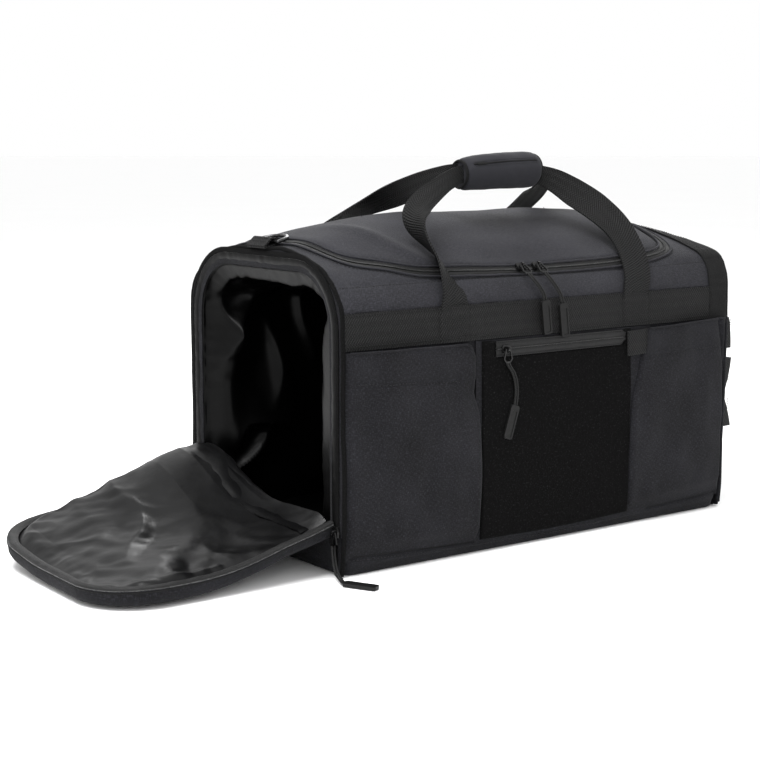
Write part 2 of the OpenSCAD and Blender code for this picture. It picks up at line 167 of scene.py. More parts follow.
def upward(P):
    """1 where a grid's own normals point up on the whole, and -1 where they point down."""
    return 1 if np.cross(np.gradient(P, axis=0), np.gradient(P, axis=1))[..., 2].mean() > 0 else -1


# ---- materials ----
FINISHES = {}


def socket(shader, name, value):
    shader.inputs[name].default_value = value


class Finish:
    """One procedural material. Its textures are measured in metres, on UV or object coordinates."""

    def __init__(self, name, rough, metal=0.0, sheen=0.0, sheen_rough=0.5, specular=0.5, uv=True):
        self.m = bpy.data.materials.new(name)
        self.m.use_nodes = True
        self.t = self.m.node_tree
        self.bsdf = self.t.nodes["Principled BSDF"]
        socket(self.bsdf, "Roughness", rough)
        socket(self.bsdf, "Metallic", metal)
        socket(self.bsdf, "Specular IOR Level", specular)
        socket(self.bsdf, "Sheen Weight", sheen)
        socket(self.bsdf, "Sheen Roughness", sheen_rough)
        self.coord = self.node("ShaderNodeTexCoord").outputs["UV" if uv else "Object"]
        self.normal = None
        FINISHES[name] = self.m

    def node(self, kind, **values):
        n = self.t.nodes.new(kind)
        for k, v in values.items():
            if k in n.inputs:
                n.inputs[k].default_value = v
            else:
                setattr(n, k, v)
        return n

    def link(self, a, b):
        self.t.links.new(a, b)

    def mapped(self, scale):
        m = self.node("ShaderNodeMapping", Scale=scale)
        self.link(self.coord, m.inputs["Vector"])
        return m.outputs["Vector"]

    def noise(self, scale, detail=2.0, stretch=(1, 1, 1)):
        n = self.node("ShaderNodeTexNoise", Scale=scale, Detail=detail)
        self.link(self.mapped(stretch), n.inputs["Vector"])
        return n.outputs["Fac"]

    def wave(self, scale, direction="X", distortion=0.0, turn=0.0):
        m = self.node("ShaderNodeMapping", Rotation=(0, 0, turn))
        self.link(self.coord, m.inputs["Vector"])
        w = self.node("ShaderNodeTexWave", bands_direction=direction, Scale=scale, Distortion=distortion)
        self.link(m.outputs["Vector"], w.inputs["Vector"])
        return w.outputs["Fac"]

    def math(self, kind, a, b):
        n = self.node("ShaderNodeMath", operation=kind)
        for i, v in enumerate((a, b)):
            if isinstance(v, float):
                n.inputs[i].default_value = v
            else:
                self.link(v, n.inputs[i])
        return n.outputs[0]

    def colour(self, fac, *stops):
        r = self.node("ShaderNodeValToRGB")
        self.link(fac, r.inputs["Fac"])
        ramp_ = r.color_ramp
        while len(ramp_.elements) < len(stops):
            ramp_.elements.new(0.5)
        for e, (at, c) in zip(ramp_.elements, stops):
            e.position = at
            e.color = (*c, 1)
        return r.outputs["Color"]

    def mix(self, fac, a, b):
        n = self.node("ShaderNodeMix", data_type="RGBA", blend_type="MIX")
        for i, v in ((0, fac), (6, a), (7, b)):
            if isinstance(v, (float, tuple)):
                n.inputs[i].default_value = v if isinstance(v, float) else (*v, 1)
            else:
                self.link(v, n.inputs[i])
        return n.outputs[2]

    def paint(self, colour):
        self.link(colour, self.bsdf.inputs["Base Color"])

    def bump(self, height, distance, strength=1.0):
        b = self.node("ShaderNodeBump", Distance=distance, Strength=strength)
        self.link(height, b.inputs["Height"])
        if self.normal is not None:
            self.link(self.normal, b.inputs["Normal"])
        self.normal = b.outputs["Normal"]
        self.link(self.normal, self.bsdf.inputs["Normal"])


def grey(v, blue=0.22):
    return (v, v, v * (1 + blue))


def woven(name, base, light, sheen):
    """Melange woven polyester: a plain weave with single lighter threads."""
    f = Finish(name, rough=0.86, sheen=sheen, sheen_rough=0.45, specular=0.16)
    warp = f.noise(1.0, 1.0, (1300, 300, 1))
    weft = f.noise(1.0, 1.0, (300, 1300, 1))
    threads = f.math("MULTIPLY", f.math("ADD", warp, weft), 0.5)
    cloud = f.noise(14, 3.0)
    tone = f.colour(threads, (0.36, grey(base * 0.55)), (0.5, grey(base)), (0.66, grey(light)))
    f.paint(f.mix(0.35, tone, f.colour(cloud, (0.3, grey(base * 0.7)), (0.7, grey(light * 0.8)))))
    weave = f.math("MULTIPLY", f.wave(330, "X"), f.wave(330, "Y"))
    f.bump(weave, 0.00022, 0.7)
    f.bump(threads, 0.00035, 0.8)
    f.bump(f.noise(60, 4.0), 0.0008, 0.35)


def ribbed(name, base, light, pitch, rough=0.62):
    """Nylon webbing: fine diagonal ribs that meet in a herringbone, in two tones."""
    f = Finish(name, rough=rough, sheen=0.0, specular=0.15)
    a = f.wave(pitch, "X", 1.2, 0.62)
    b = f.wave(pitch, "X", 1.2, -0.62)
    bands = f.colour(f.wave(30, "Y"), (0.48, (0, 0, 0)), (0.52, (1, 1, 1)))
    ribs = f.mix(f.noise(40, 2.0), f.mix(bands, a, b), a)
    f.paint(f.mix(ribs, grey(base, 0.02), grey(light, 0.02)))
    f.bump(ribs, 0.0009, 1.0)
    f.bump(f.noise(700, 2.0), 0.0002, 0.5)


def speckled(name, scale, detail, *stops, uv=False, **look):
    """A finish whose tone drifts between stops, each a (place, grey, blue)."""
    f = Finish(name, uv=uv, **look)
    f.paint(f.colour(f.noise(scale, detail), *[(at, grey(v, blue)) for at, v, blue in stops]))
    return f


def make_finishes():
    woven("body_cloth", 0.0035, 0.024, 0.02)
    # The finish below is the woven cloth in a lighter tone: painted light from above on the faces that look
    # up, the lid, deck, grip and the lid zip's lips.
    woven("top_cloth_painted_light", 0.013, 0.033, 0.06)
    ribbed("webbing", 0.001, 0.013, 120)
    ribbed("binding", 0.003, 0.011, 260, 0.7)

    f = Finish("loop_pile", rough=0.95, sheen=0.0, specular=0.08)
    fuzz = f.noise(900, 4.0)
    tufts = f.noise(330, 2.0)
    speck = f.colour(f.noise(520, 3.0), (0.58, grey(0.0010, 0.02)), (0.74, grey(0.022, 0.02)))
    f.paint(f.mix(f.math("MULTIPLY", fuzz, 0.5), speck, grey(0.002, 0.0)))
    f.bump(tufts, 0.0005, 0.7)
    f.bump(fuzz, 0.0004, 0.8)

    # The second finish here is the satin again with a darker base colour and less gloss: that darker colour
    # is painted shade for the dim inside of the shoe tunnel.
    for name, rough, specular, dark, light in (("satin", 0.29, 0.20, 0.002, 0.004),
                                               ("satin_painted_shade", 0.36, 0.095, 0.0006, 0.0012)):
        f = speckled(name, 9, 3.0, (0.3, dark, 0.06), (0.7, light, 0.06), rough=rough, specular=specular)
        f.bump(f.noise(16, 4.0), 0.004, 0.30)
        f.bump(f.noise(1500, 1.0), 0.00008, 0.5)

    f = speckled("zip_cloth", 600, 2.0, (0.35, 0.004, 0.02), (0.7, 0.010, 0.02), rough=0.55, specular=0.24,
                 uv=True)
    f.bump(f.wave(500, "Y"), 0.00015, 0.7)
    f.bump(f.noise(90, 2.0), 0.0004, 0.5)
    # The finish below is the zip cloth with half its base colour, rougher and less glossy: the darker colour
    # is painted shade on the open end's frame tape and piping, which face away from the lights.
    f = speckled("painted_shade_cloth", 600, 2.0, (0.35, 0.002, 0.02), (0.7, 0.006, 0.02), rough=0.85, specular=0.06,
                 uv=True)
    f.bump(f.wave(500, "Y"), 0.00015, 0.7)

    speckled("zip_coil", 500, 2.0, (0.3, 0.016, 0), (0.7, 0.05, 0), rough=0.32, specular=0.6)
    # The finish below is the zip coil lightened up to pale grey: painted glints along the coils of the open
    # end's frame and the door.
    speckled("painted_glint_coil", 500, 2.0, (0.3, 0.04, 0), (0.7, 0.22, 0), rough=0.30, specular=0.6)
    speckled("stitch_thread", 900, 2.0, (0.3, 0.004, 0.02), (0.7, 0.016, 0.02), rough=0.6, specular=0.2)
    f = speckled("stiff_board", 80, 3.0, (0.3, 0.014, 0.22), (0.7, 0.020, 0.22), rough=0.6)
    f.bump(f.noise(300, 3.0), 0.0003, 0.6)
    f = speckled("painted_metal", 420, 4.0, (0.30, 0.004, 0.02), (0.64, 0.010, 0.02), (0.80, 0.10, 0),
                 rough=0.27, metal=0.55, specular=0.6)
    f.bump(f.noise(700, 2.0), 0.00006, 0.5)
    f = speckled("ring_steel", 260, 4.0, (0.30, 0.03, 0.02), (0.66, 0.07, 0.02), (0.8, 0.3, 0),
                 rough=0.24, metal=0.8, specular=0.6)
    f.bump(f.noise(500, 2.0), 0.00006, 0.5)
    f = speckled("moulded_tab", 350, 3.0, (0.3, 0.002, 0), (0.75, 0.006, 0), rough=0.50, specular=0.22)
    f.bump(f.noise(1400, 2.0), 0.0001, 0.6)

    f = Finish("cord_braid", rough=0.6, specular=0.25)
    braid = f.math("MULTIPLY", f.wave(420, "X", 0.0, 0.8), f.wave(420, "X", 0.0, -0.8))
    f.paint(f.mix(braid, grey(0.003, 0.0), grey(0.014, 0.0)))
    f.bump(braid, 0.0002, 1.0)


make_finishes()


# ---- mesh building ----
class Piece:
    """Gathers grids, cloths and tubes in millimetres, then makes one mesh object of them."""

    def __init__(self):
        self.points, self.faces, self.uv, self.count = [], [], [], 0

    def grid(self, P, flip=False):
        m, n = P.shape[:2]
        index = np.arange(m * n).reshape(m, n) + self.count
        f = np.stack([index[:-1, :-1], index[1:, :-1], index[1:, 1:], index[:-1, 1:]], -1).reshape(-1, 4)
        uv = np.stack(lattice(steps(P, 0), steps(P, 1)), -1)
        t = np.stack([uv[:-1, :-1], uv[1:, :-1], uv[1:, 1:], uv[:-1, 1:]], 2).reshape(-1, 4, 2)
        if flip:
            f, t = f[:, ::-1], t[:, ::-1]
        self.points.append(P.reshape(-1, 3))
        self.faces.append(f)
        self.uv.append(t)
        self.count += m * n
        return self

    def cloth(self, P, thick, out=1):
        """A sheet with thickness: P is its outer face, whose normal is out times the grid's own."""
        back = P - normals(P) * out * thick
        self.grid(P, flip=out < 0)
        self.grid(back, flip=out > 0)
        self.rim(P[:, 0], back[:, 0], out > 0)
        self.rim(P[:, -1], back[:, -1], out < 0)
        self.rim(P[0], back[0], out < 0)
        self.rim(P[-1], back[-1], out > 0)
        return self

    def rim(self, top, bottom, flip):
        self.grid(np.stack([top, (top + bottom) / 2, bottom], 1), flip=flip)

    def tube(self, path, radius, sides=10, closed=False, flat=1.0, up=(0, 0, 1)):
        """A round or oval tube along path. radius may be one number or one for each point."""
        path = np.asarray(path, float)
        if closed:
            along = unit(np.roll(path, -1, 0) - np.roll(path, 1, 0))
        else:
            along = unit(np.gradient(path, axis=0))
        side = unit(np.cross(along, np.asarray(up, float)) + 1e-7)
        top = np.cross(side, along)
        r = np.broadcast_to(np.asarray(radius, float), len(path))[:, None, None]
        a = np.linspace(0, TAU, sides + 1)
        ring = np.cos(a)[None, :, None] * side[:, None] + flat * np.sin(a)[None, :, None] * top[:, None]
        P = path[:, None] + ring * r
        if closed:
            P = np.concatenate([P, P[:1]])
        else:
            P = np.concatenate([np.repeat(path[:1, None], sides + 1, 1), P,
                                np.repeat(path[-1:, None], sides + 1, 1)])
        return self.grid(P, flip=True)

    def ribbon(self, path, across, width, thick, count=7, curl=0.0):
        """A webbing strap: across is its width direction at each point of path."""
        path = np.asarray(path, float)
        across = unit(np.broadcast_to(np.asarray(across, float), path.shape))
        w = np.broadcast_to(np.asarray(width, float), len(path))
        t = np.linspace(-0.5, 0.5, count)
        lift = unit(np.cross(np.gradient(path, axis=0), across))
        P = path[:, None] + across[:, None] * (t[None, :, None] * w[:, None, None])
        P = P + lift[:, None] * (curl * (0.25 - t**2))[None, :, None] * w[:, None, None]
        P = P + lift[:, None] * thick / 2
        return self.cloth(P, thick)

    def stitches(self, path, lift, length, pitch, radius):
        """Thread: short raised dashes along path, whose outward direction is lift."""
        path = np.asarray(path, float)
        lift = unit(np.broadcast_to(np.asarray(lift, float), path.shape))
        far = walked(path)
        for start in np.arange(pitch / 2, far[-1] - length, pitch):
            at = start + np.array([0, 0.25, 0.75, 1.0]) * length
            p, n = sample(path, far, at), sample(lift, far, at)
            p += n * (np.array([-0.25, 0.3, 0.3, -0.25]) * radius * 2)[:, None]
            self.tube(p, radius * np.array([0.8, 1, 1, 0.8]), sides=5, up=n[0] + 1e-3)
        return self

    def make(self, name, finish, replaces=(), slot=None, body="bag"):
        """Makes, welds and links the object, with its finish, the CAD nodes it stands for, and body. slot is
        not used.
        """
        points = np.vstack(self.points)
        points[:, 0] += CORNER_PUSH * ramp(165, HALF_L, points[:, 0]) * ramp(-70, -145, points[:, 1])
        mesh = bpy.data.meshes.new(name)
        mesh.from_pydata((points * MM).tolist(), [], np.vstack(self.faces).tolist())
        layer = mesh.uv_layers.new(name="UVMap")
        layer.data.foreach_set("uv", np.vstack([t.reshape(-1, 2) for t in self.uv]).ravel())
        mesh.polygons.foreach_set("use_smooth", [True] * len(mesh.polygons))
        b = bmesh.new()
        b.from_mesh(mesh)
        bmesh.ops.remove_doubles(b, verts=b.verts, dist=1e-6)
        bmesh.ops.dissolve_degenerate(b, dist=1e-7, edges=b.edges)
        b.to_mesh(mesh)
        b.free()
        o = bpy.data.objects.new(name, mesh)
        bpy.context.scene.collection.objects.link(o)
        mesh.materials.append(FINISHES[finish])
        mesh.set_sharp_from_angle(angle=math.radians(50))
        if body:
            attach(o, body)
        if replaces:
            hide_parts(*replaces)
        return o


# ---- camera, lights and floor ----
def make_camera():
    data = bpy.data.cameras.new("camera")
    data.lens, data.sensor_width = 75.8, 36.0
    data.clip_start, data.clip_end = 0.05, 60
    cam = bpy.data.objects.new("camera", data)
    cam.location = (-1.1962, -1.4676, 0.4427)
    cam.rotation_euler = (math.radians(90 - 8.37), 0, math.radians(-36.23))
    bpy.context.scene.collection.objects.link(cam)
    bpy.context.scene.camera = cam


def area_light(name, at, look, size, power):
    data = bpy.data.lights.new(name, "AREA")
    data.shape = "RECTANGLE"
    data.size, data.size_y = size
    data.energy = power
    o = bpy.data.objects.new(name, data)
    o.location = at
    o.rotation_euler = (Vector(look) - Vector(at)).to_track_quat("-Z", "Y").to_euler()
    bpy.context.scene.collection.objects.link(o)


def make_studio():
    scene = bpy.context.scene
    scene.world = bpy.data.worlds.new("studio")
    scene.world.use_nodes = True
    back = scene.world.node_tree.nodes["Background"]
    back.inputs["Color"].default_value = (1.0, 1.0, 1.0, 1)
    back.inputs["Strength"].default_value = 1.0
    area_light("key", (-1.0, -0.3, 2.3), (-0.1, 0, 0.1), (1.3, 1.1), 75)
    area_light("front_fill", (-0.9, -2.5, 1.5), (0, 0, 0.15), (2.2, 1.2), 16)
    area_light("end_fill", (-2.6, -0.6, 1.1), (-0.3, 0, 0.1), (1.2, 1.2), 5)
    area_light("rim", (1.6, 1.8, 1.6), (0, 0, 0.2), (1.4, 1.4), 30)
    mesh = bpy.data.meshes.new("floor")
    far, low = 60, -0.0006
    corners = [(-far, -far, low), (far, -far, low), (far, far, low), (-far, far, low)]
    mesh.from_pydata(corners, [], [(0, 1, 2, 3)])
    floor = bpy.data.objects.new("floor", mesh)
    scene.collection.objects.link(floor)
    f = Finish("studio_floor", rough=0.75, uv=False, specular=0.2)
    f.paint(f.colour(f.noise(1.5, 2.0), (0.3, (0.975, 0.975, 0.975)), (0.7, (0.985, 0.985, 0.985))))
    mesh.materials.append(f.m)
    scene.view_settings.view_transform = "Standard"


make_camera()
make_studio()


# ---- the bag's outer form ----
# Half cross-sections (y, z) from the floor up over the front to the crown, at the left end, the
# middle and the right end. Index 4 and 5 are the band's edges, 7 the lid's zip, 11 the crown.
LEFT = [(-145, 0), (-149.5, 8), (-151, 60), (-151, 140), (-150.5, 235), (-149, 272), (-142, 289), (-127, 305),
        (-107, 317), (-79, 326), (-45, 331.5), (0, 333)]
MIDDLE = [(-146, 0), (-150.5, 8), (-152, 60), (-152.5, 140), (-151.5, 235), (-150, 273), (-144, 291),
          (-131, 307), (-113, 320), (-84, 337.5), (-45, 355), (0, 362)]
RIGHT = [(-145, 0), (-149.5, 8), (-151, 60), (-151.5, 140), (-151.5, 235), (-150.5, 273), (-147, 297),
         (-137, 311), (-116, 320), (-85, 327), (-45, 333), (0, 335)]


def section(points):
    p = np.array(points, float)
    return np.vstack([p, (p * [-1, 1])[-2::-1]])


SECTIONS = np.stack([section(LEFT), section(MIDDLE), section(RIGHT)])


def form(x, s):
    """A point of the smooth outer form: x along the bag, s the index round its cross-section."""
    x, s = np.broadcast_arrays(np.asarray(x, float), np.asarray(s, float))
    u = np.clip(x / HALF_L, -1, 1)
    left = np.where(u < 0, np.abs(u) ** 3.2, 0)
    right = np.where(u > 0, np.abs(u) ** 4, 0)
    weight = np.stack([left, 1 - left - right, right], -1)
    last = SECTIONS.shape[1] - 1
    s = np.clip(s, 0, last - 1e-6)
    i = s.astype(int)
    f = (s - i)[..., None]
    near = [SECTIONS[:, np.clip(i + k, 0, last)] for k in (-1, 0, 1, 2)]
    yz = cubic(*[np.einsum("...k,k...j->...j", weight, p) for p in near], f)
    return np.concatenate([x[..., None], yz], -1)


def wrinkles(x, s, p):
    """How far the cloth stands off the smooth form: sags, folds and puckers along its seams."""
    end = HALF_L - np.abs(x)
    around = s * 24.0
    d = 1.5 * noise(p, 95, 1) + 0.7 * noise(p * [0.6, 1, 1.3], 42, 2)
    rear = ROUND - s
    top = ramp(5.4, 8.0, s) * ramp(5.4, 8.0, rear)
    d += top * (1.3 * noise(p, 60, 3) + 2.0 * hill(np.abs(x), 150, 60) * hill(s, 7.4, 1.2))
    d -= 3.0 * hill(x, -15, 70) * hill(s, 7.6, 1.1)
    seam = (around, x * 0.25, 0)
    d += 1.5 * np.exp(-end / 14) * noise(seam, 17, 4) * np.where(x < 0, 1.0, 0.6)
    fold = (x, around * 0.2, 0)
    shoulder = ramp(5.0, 5.3, s) * np.exp(-np.maximum(s - 5.2, 0) / 0.7)
    d += shoulder * 1.0 * noise(fold, 15, 5)
    d += 0.9 * hill(s, 6.6, 0.16) * noise(fold, 11, 6) - 0.5 * hill(s, 6.6, 0.1)
    d += ramp(5.0, 5.3, rear) * np.exp(-np.maximum(rear - 5.2, 0) / 0.7) * 1.0 * noise(fold, 15, 7)
    face = ramp(1.2, 1.8, s) * ramp(4.3, 3.8, s) + ramp(1.2, 1.8, rear) * ramp(4.3, 3.8, rear)
    d += face * (2.2 * noise(p * [1, 1, 0.45], 70, 8) + 1.2)
    return d


def skin(x, s, lift=0.0):
    """A point of the wrinkled cloth, lift millimetres proud of it."""
    x, s = np.broadcast_arrays(np.asarray(x, float), np.asarray(s, float))
    p = form(x, s)
    e = 1e-3
    dx = form(x + e, s) - form(x - e, s)
    # x is held inside the ends, so the form's own slope is used there
    dx[..., 0] = 2 * e
    ds = form(x, s + e) - form(x, s - e)
    n = unit(np.cross(dx, ds))
    return p + n * (wrinkles(x, s, p) + lift)[..., None]


def strip(xs, ss, lift=0.0):
    return skin(*lattice(xs, ss), lift)


def sew(piece, x, s, stand, length=2.4, pitch=4.2, radius=0.3):
    """Stitches along a line on the cloth, where x or s may be one number."""
    p = skin(x, s, stand)
    return piece.stitches(p, skin(x, s, stand + 5) - p, length, pitch, radius)


def height_index(z):
    """The index on the upright front face at a height."""
    return np.interp(z, [0, 8, 60, 140, 235, 273], [0, 1, 2, 3, 4, 5])


def seam_height(x):
    """The base seam: higher at the corners, low in the middle."""
    return 11 + 10 * np.abs(np.asarray(x, float) / HALF_L) ** 1.6


# ---- the lid's outline in (x, s) ----
LID_FRONT = [(-258, 12.4), (-259, 10.9), (-256, 9.6), (-248, 8.75), (-231, 8.2), (-208, 7.65), (-180, 7.3),
             (-140, 7.08), (-60, 6.95), (60, 6.95), (150, 7.1), (190, 7.35), (212, 7.8), (224, 8.6),
             (228, 9.6), (229, 11.0), (229, 12.4)]
LID_REAR_INDEX = 14.0


def lid_outline(grow):
    """Points round the lid, starting and ending at its hinge line, grown outwards by grow mm."""
    pts = [(-256, LID_REAR_INDEX)] + LID_FRONT + [(228, LID_REAR_INDEX)]
    p = spline(np.array(pts) * [1, STEP], 240) / [1, STEP]
    wave = hill(p[:, 0], -205, 22) * (p[:, 1] < 9)
    p[:, 1] += 0.16 * wave - 0.10 * hill(p[:, 0], -238, 14) * (p[:, 1] < 9.2)
    flat = p * [1, STEP]
    t = unit(np.gradient(flat, axis=0))
    out = np.stack([t[:, 1], -t[:, 0]], 1)
    out *= np.sign(np.sum(out * (flat - [0, CROWN * STEP]), axis=1, keepdims=True))
    return (flat + out * grow) / [1, STEP]


def make_shell():
    """The upright cloth at the front and back, and the deck round the lid."""
    # front and back cloth, from the base seam to under the band's top edge
    xs = np.linspace(-HALF_L, HALF_L, 170)
    x, v = lattice(xs, np.linspace(0, 1, 70))
    low = height_index(seam_height(x) - 2)
    s = low + (5.06 - low) * v
    Piece().cloth(skin(x, s), 1.6).make("front_cloth", "body_cloth", ["front_panel"])
    Piece().cloth(skin(x, ROUND - s), 1.6, out=-1).make("back_cloth", "body_cloth", ["back_panel"])

    # the deck: everything between the lid's zip and the bands, where each point of the outline
    # is matched with one of the outer border
    outline = lid_outline(5.5)
    x, s = outline.T
    left, right, front = -HALF_L + 0.2, HALF_L - 0.2, 5.0
    corner = np.interp(s, [6.9, 7.5, 8.2, 9.2], [front, front, 6.2, 9.2])
    outer = np.column_stack([x, np.full(len(x), front)])
    for side, past, blend in ((left, (x < -225) & (s > 7.9), ramp(-200, -248, x) * (s < 9.2)),
                              (right, (x > 205) & (s > 7.8), ramp(180, 222, x) * (s < 9.2))):
        outer[past] = np.column_stack([np.full(len(x), side), s])[past]
        bent = np.column_stack([x + (side - x) * blend, front + (corner - front) * blend])
        outer[blend > 0] = bent[blend > 0]
    outer[:, 1] = np.where(s > 9.2, s, outer[:, 1])
    outer = even_border(outer, left, right, front, LID_REAR_INDEX)
    t = np.linspace(0, 1, 34)[None, :, None]
    ring = outline[:, None] * (1 - t) + outer[:, None] * t
    p = skin(ring[..., 0], ring[..., 1])
    deck = Piece().cloth(p, 1.6, out=upward(p))
    # behind the hinge line, down to the back band
    deck.cloth(strip(xs, np.linspace(LID_REAR_INDEX - 0.02, 17.0, 50)), 1.6)
    # The deck takes the lighter top finish: painted light from above.
    deck.make("deck_cloth", "top_cloth_painted_light", ["top_deck"])


def even_border(loop, left, right, front, rear):
    """Slides the loop's points along the deck's outer border so that none bunch up."""
    x, s = np.clip(loop[:, 0], left, right), np.maximum(loop[:, 1], front)
    # millimetres walked down the left side, along the front and up the right side
    side, across = (rear - front) * STEP, right - left
    total = side + across + side
    marks = np.where(x >= right - 1e-6, side + across + (s - front) * STEP, side + x - left)
    marks = np.where(x <= left + 1e-6, (rear - s) * STEP, marks)
    marks = np.maximum.accumulate(marks)
    kernel = np.hanning(41)
    kernel /= kernel.sum()
    marks = np.concatenate([2 * marks[0] - marks[20:0:-1], marks, 2 * marks[-1] - marks[-2:-22:-1]])
    marks = np.convolve(marks, kernel, "same")[20:-20]
    marks = np.interp(marks, [marks[0], marks[-1]], [0, total])
    # keep a point on each corner of the border
    for corner in (side, side + across):
        marks[np.argmin(np.abs(marks - corner))] = corner
    turns = [0, side, side + across, total]
    return np.column_stack([np.interp(marks, turns, [left, left, right, right]),
                            np.interp(marks, turns, [rear, front, front, rear])])


def make_lid():
    """The lid's cloth and, inside it, its lining."""
    outline = lid_outline(-5.0)
    hinge = np.column_stack([np.linspace(-256, 228, 90), np.full(90, LID_REAR_INDEX)])
    loop = np.vstack([outline, hinge[-2:0:-1]])
    # the loop shrinks to a line along the crown
    core = np.column_stack([np.interp(loop[:, 0], [-262, 230], [-150, 130]), np.full(len(loop), CROWN)])
    t = np.concatenate([[0, 0.006, 0.02], np.linspace(0.05, 1, 34)])
    ring = loop[:, None] * (1 - t[:, None]) + core[:, None] * t[:, None]
    ring = np.concatenate([ring, ring[:1]])
    x, s = ring[..., 0], ring[..., 1]
    rise = 2.2 * ramp(0, 0.10, t) + 2.0 * ramp(0.1, 0.5, t)
    pucker = np.exp(-t / 0.05) * noise((x, s * STEP, 0), 15, 21)
    p = skin(x, s, rise + pucker)
    p[..., 2] += 3.0 * hill(x + (s - 9) * 20, -172, 12) * ramp(7.2, 8.2, s) * ramp(11.5, 9.5, s)
    out = upward(p)
    # The lid's cloth takes the lighter top finish: painted light from above.
    Piece().cloth(p, 1.8, out).make("top_cloth_painted_light", "top_cloth_painted_light", ["lid_panel"], "lid_fabric", body="lid")
    Piece().cloth(skin(x, s, -3.2), 0.8, out).make("lid_inner", "satin", ["lid_lining"], body="lid")


def make_zip_tapes():
    """Two halves of coated tape along the lid's zip, each with its own coil of fine teeth."""
    t = np.linspace(0, 1, 7)
    for name, body, way, lip, sewn in (("lid_tape", "lid", -1, 2.6, 2.2), ("deck_tape", "bag", 1, 1.6, 0.3)):
        q = np.stack([lid_outline(way * (0.6 + 5.9 * k)) for k in t], 1)
        p = skin(q[..., 0], q[..., 1], 1.0 + 0.9 * np.sin(np.pi * t))
        node = "lid_zip_tape" if body == "lid" else "deck_zip_tape"
        Piece().cloth(p, 1.0, out=upward(p)).make(name, "zip_cloth", [node], body=body)
        x, s = lid_outline(way * 0.45).T
        c = skin(x, s, 1.9)
        teeth(c, skin(x, s, 5.0) - c, 0.85).make(name + "_coil", "zip_coil", body=body)
        x, s = lid_outline(way * 6.8).T
        # The lip takes the lighter top finish: painted light from above.
        Piece().tube(skin(x, s, lip), 1.15, 8).make(name + "_lip", "top_cloth_painted_light", body=body)
        x, s = lid_outline(way * 9.6).T
        sew(Piece(), x, s, sewn, 2.4, 4.4, 0.26).make(name + "_stitches", "stitch_thread", body=body)


TOOTH_PITCH = 1.35


def teeth(path, lift, size):
    """A zip coil: one small link after another across the tape."""
    path = np.asarray(path, float)
    lift = unit(np.broadcast_to(lift, path.shape))
    far = walked(path)
    at = np.arange(0, far[-1], TOOTH_PITCH / 2)
    c, n = sample(path, far, at), unit(sample(lift, far, at))
    a = unit(np.gradient(c, axis=0))
    side = np.cross(a, n)
    swing = np.where(np.arange(len(at)) % 2 == 0, 1.0, -1.0)[:, None]
    c = c + side * swing * size * 0.75 + n * 0.25 * size
    return Piece().tube(c, size * 0.42, 5, up=n[0] + 1e-3)


def make_bands():
    """The webbing bands, with the legs' stitched boxes and both edges sewn down."""
    xs = np.linspace(-HALF_L + 0.5, HALF_L - 25, 260)
    x, s = lattice(xs, np.linspace(4.0, 5.02, 13))
    edge = hill(s, 4.0, 0.05) + hill(s, 5.02, 0.05)
    stand = 2.0 + 0.5 * noise((x, s * 4, 0), 16, 31) * edge
    stand -= 0.45 * (hill(x, -155, 1.6) + hill(x, -115, 1.6) + hill(x, 115, 1.6) + hill(x, 155, 1.6))
    stand += 0.9 * (ramp(-155, -153, x) * ramp(-115, -117, x) + ramp(115, 117, x) * ramp(155, 153, x))
    up, slant = np.linspace(4.1, 4.92, 30), np.linspace(4.12, 4.5, 20)
    lines = [(xs, 4.07), (xs, 4.95)] + [(at, up) for at in (-155, -116, 115, 154)]
    for at in (-LEG_X, LEG_X):
        cross = np.linspace(at - 17, at + 17, 20)
        lines += [(cross, slant), (cross[::-1], slant), (cross, 4.5), (cross, 4.12)]
    for name, rear, node in (("front_webbing", False, "front_band"), ("back_webbing", True, "back_band")):
        p = skin(x, ROUND - s if rear else s, stand)
        Piece().cloth(p, 2.0, out=-1 if rear else 1).make(name, "webbing", [node])
        thread = Piece()
        for at, index in lines:
            on_leg = np.abs(np.abs(at) - LEG_X) < 19
            sew(thread, at, ROUND - index if rear else index, np.where(on_leg, 3.0, 2.1), 2.6, 4.0, 0.30)
        thread.make(name + "_stitches", "stitch_thread")


BASE_ROUND = 15.0


def plan_loop(inset):
    """The bag's outline from above, as an even closed loop."""
    hx, hy = HALF_L - inset, HALF_W + 0.5 - inset
    r = max(BASE_ROUND - inset, 2.0)
    pts = []
    for start, x, y in ((-90, 1, -1), (0, 1, 1), (90, -1, 1), (180, -1, -1)):
        for a in np.radians(np.linspace(start, start + 90, 9)):
            pts.append((x * (hx - r) + r * math.cos(a), y * (hy - r) + r * math.sin(a)))
    pts.append(pts[0])
    return even(np.array(pts), 240)


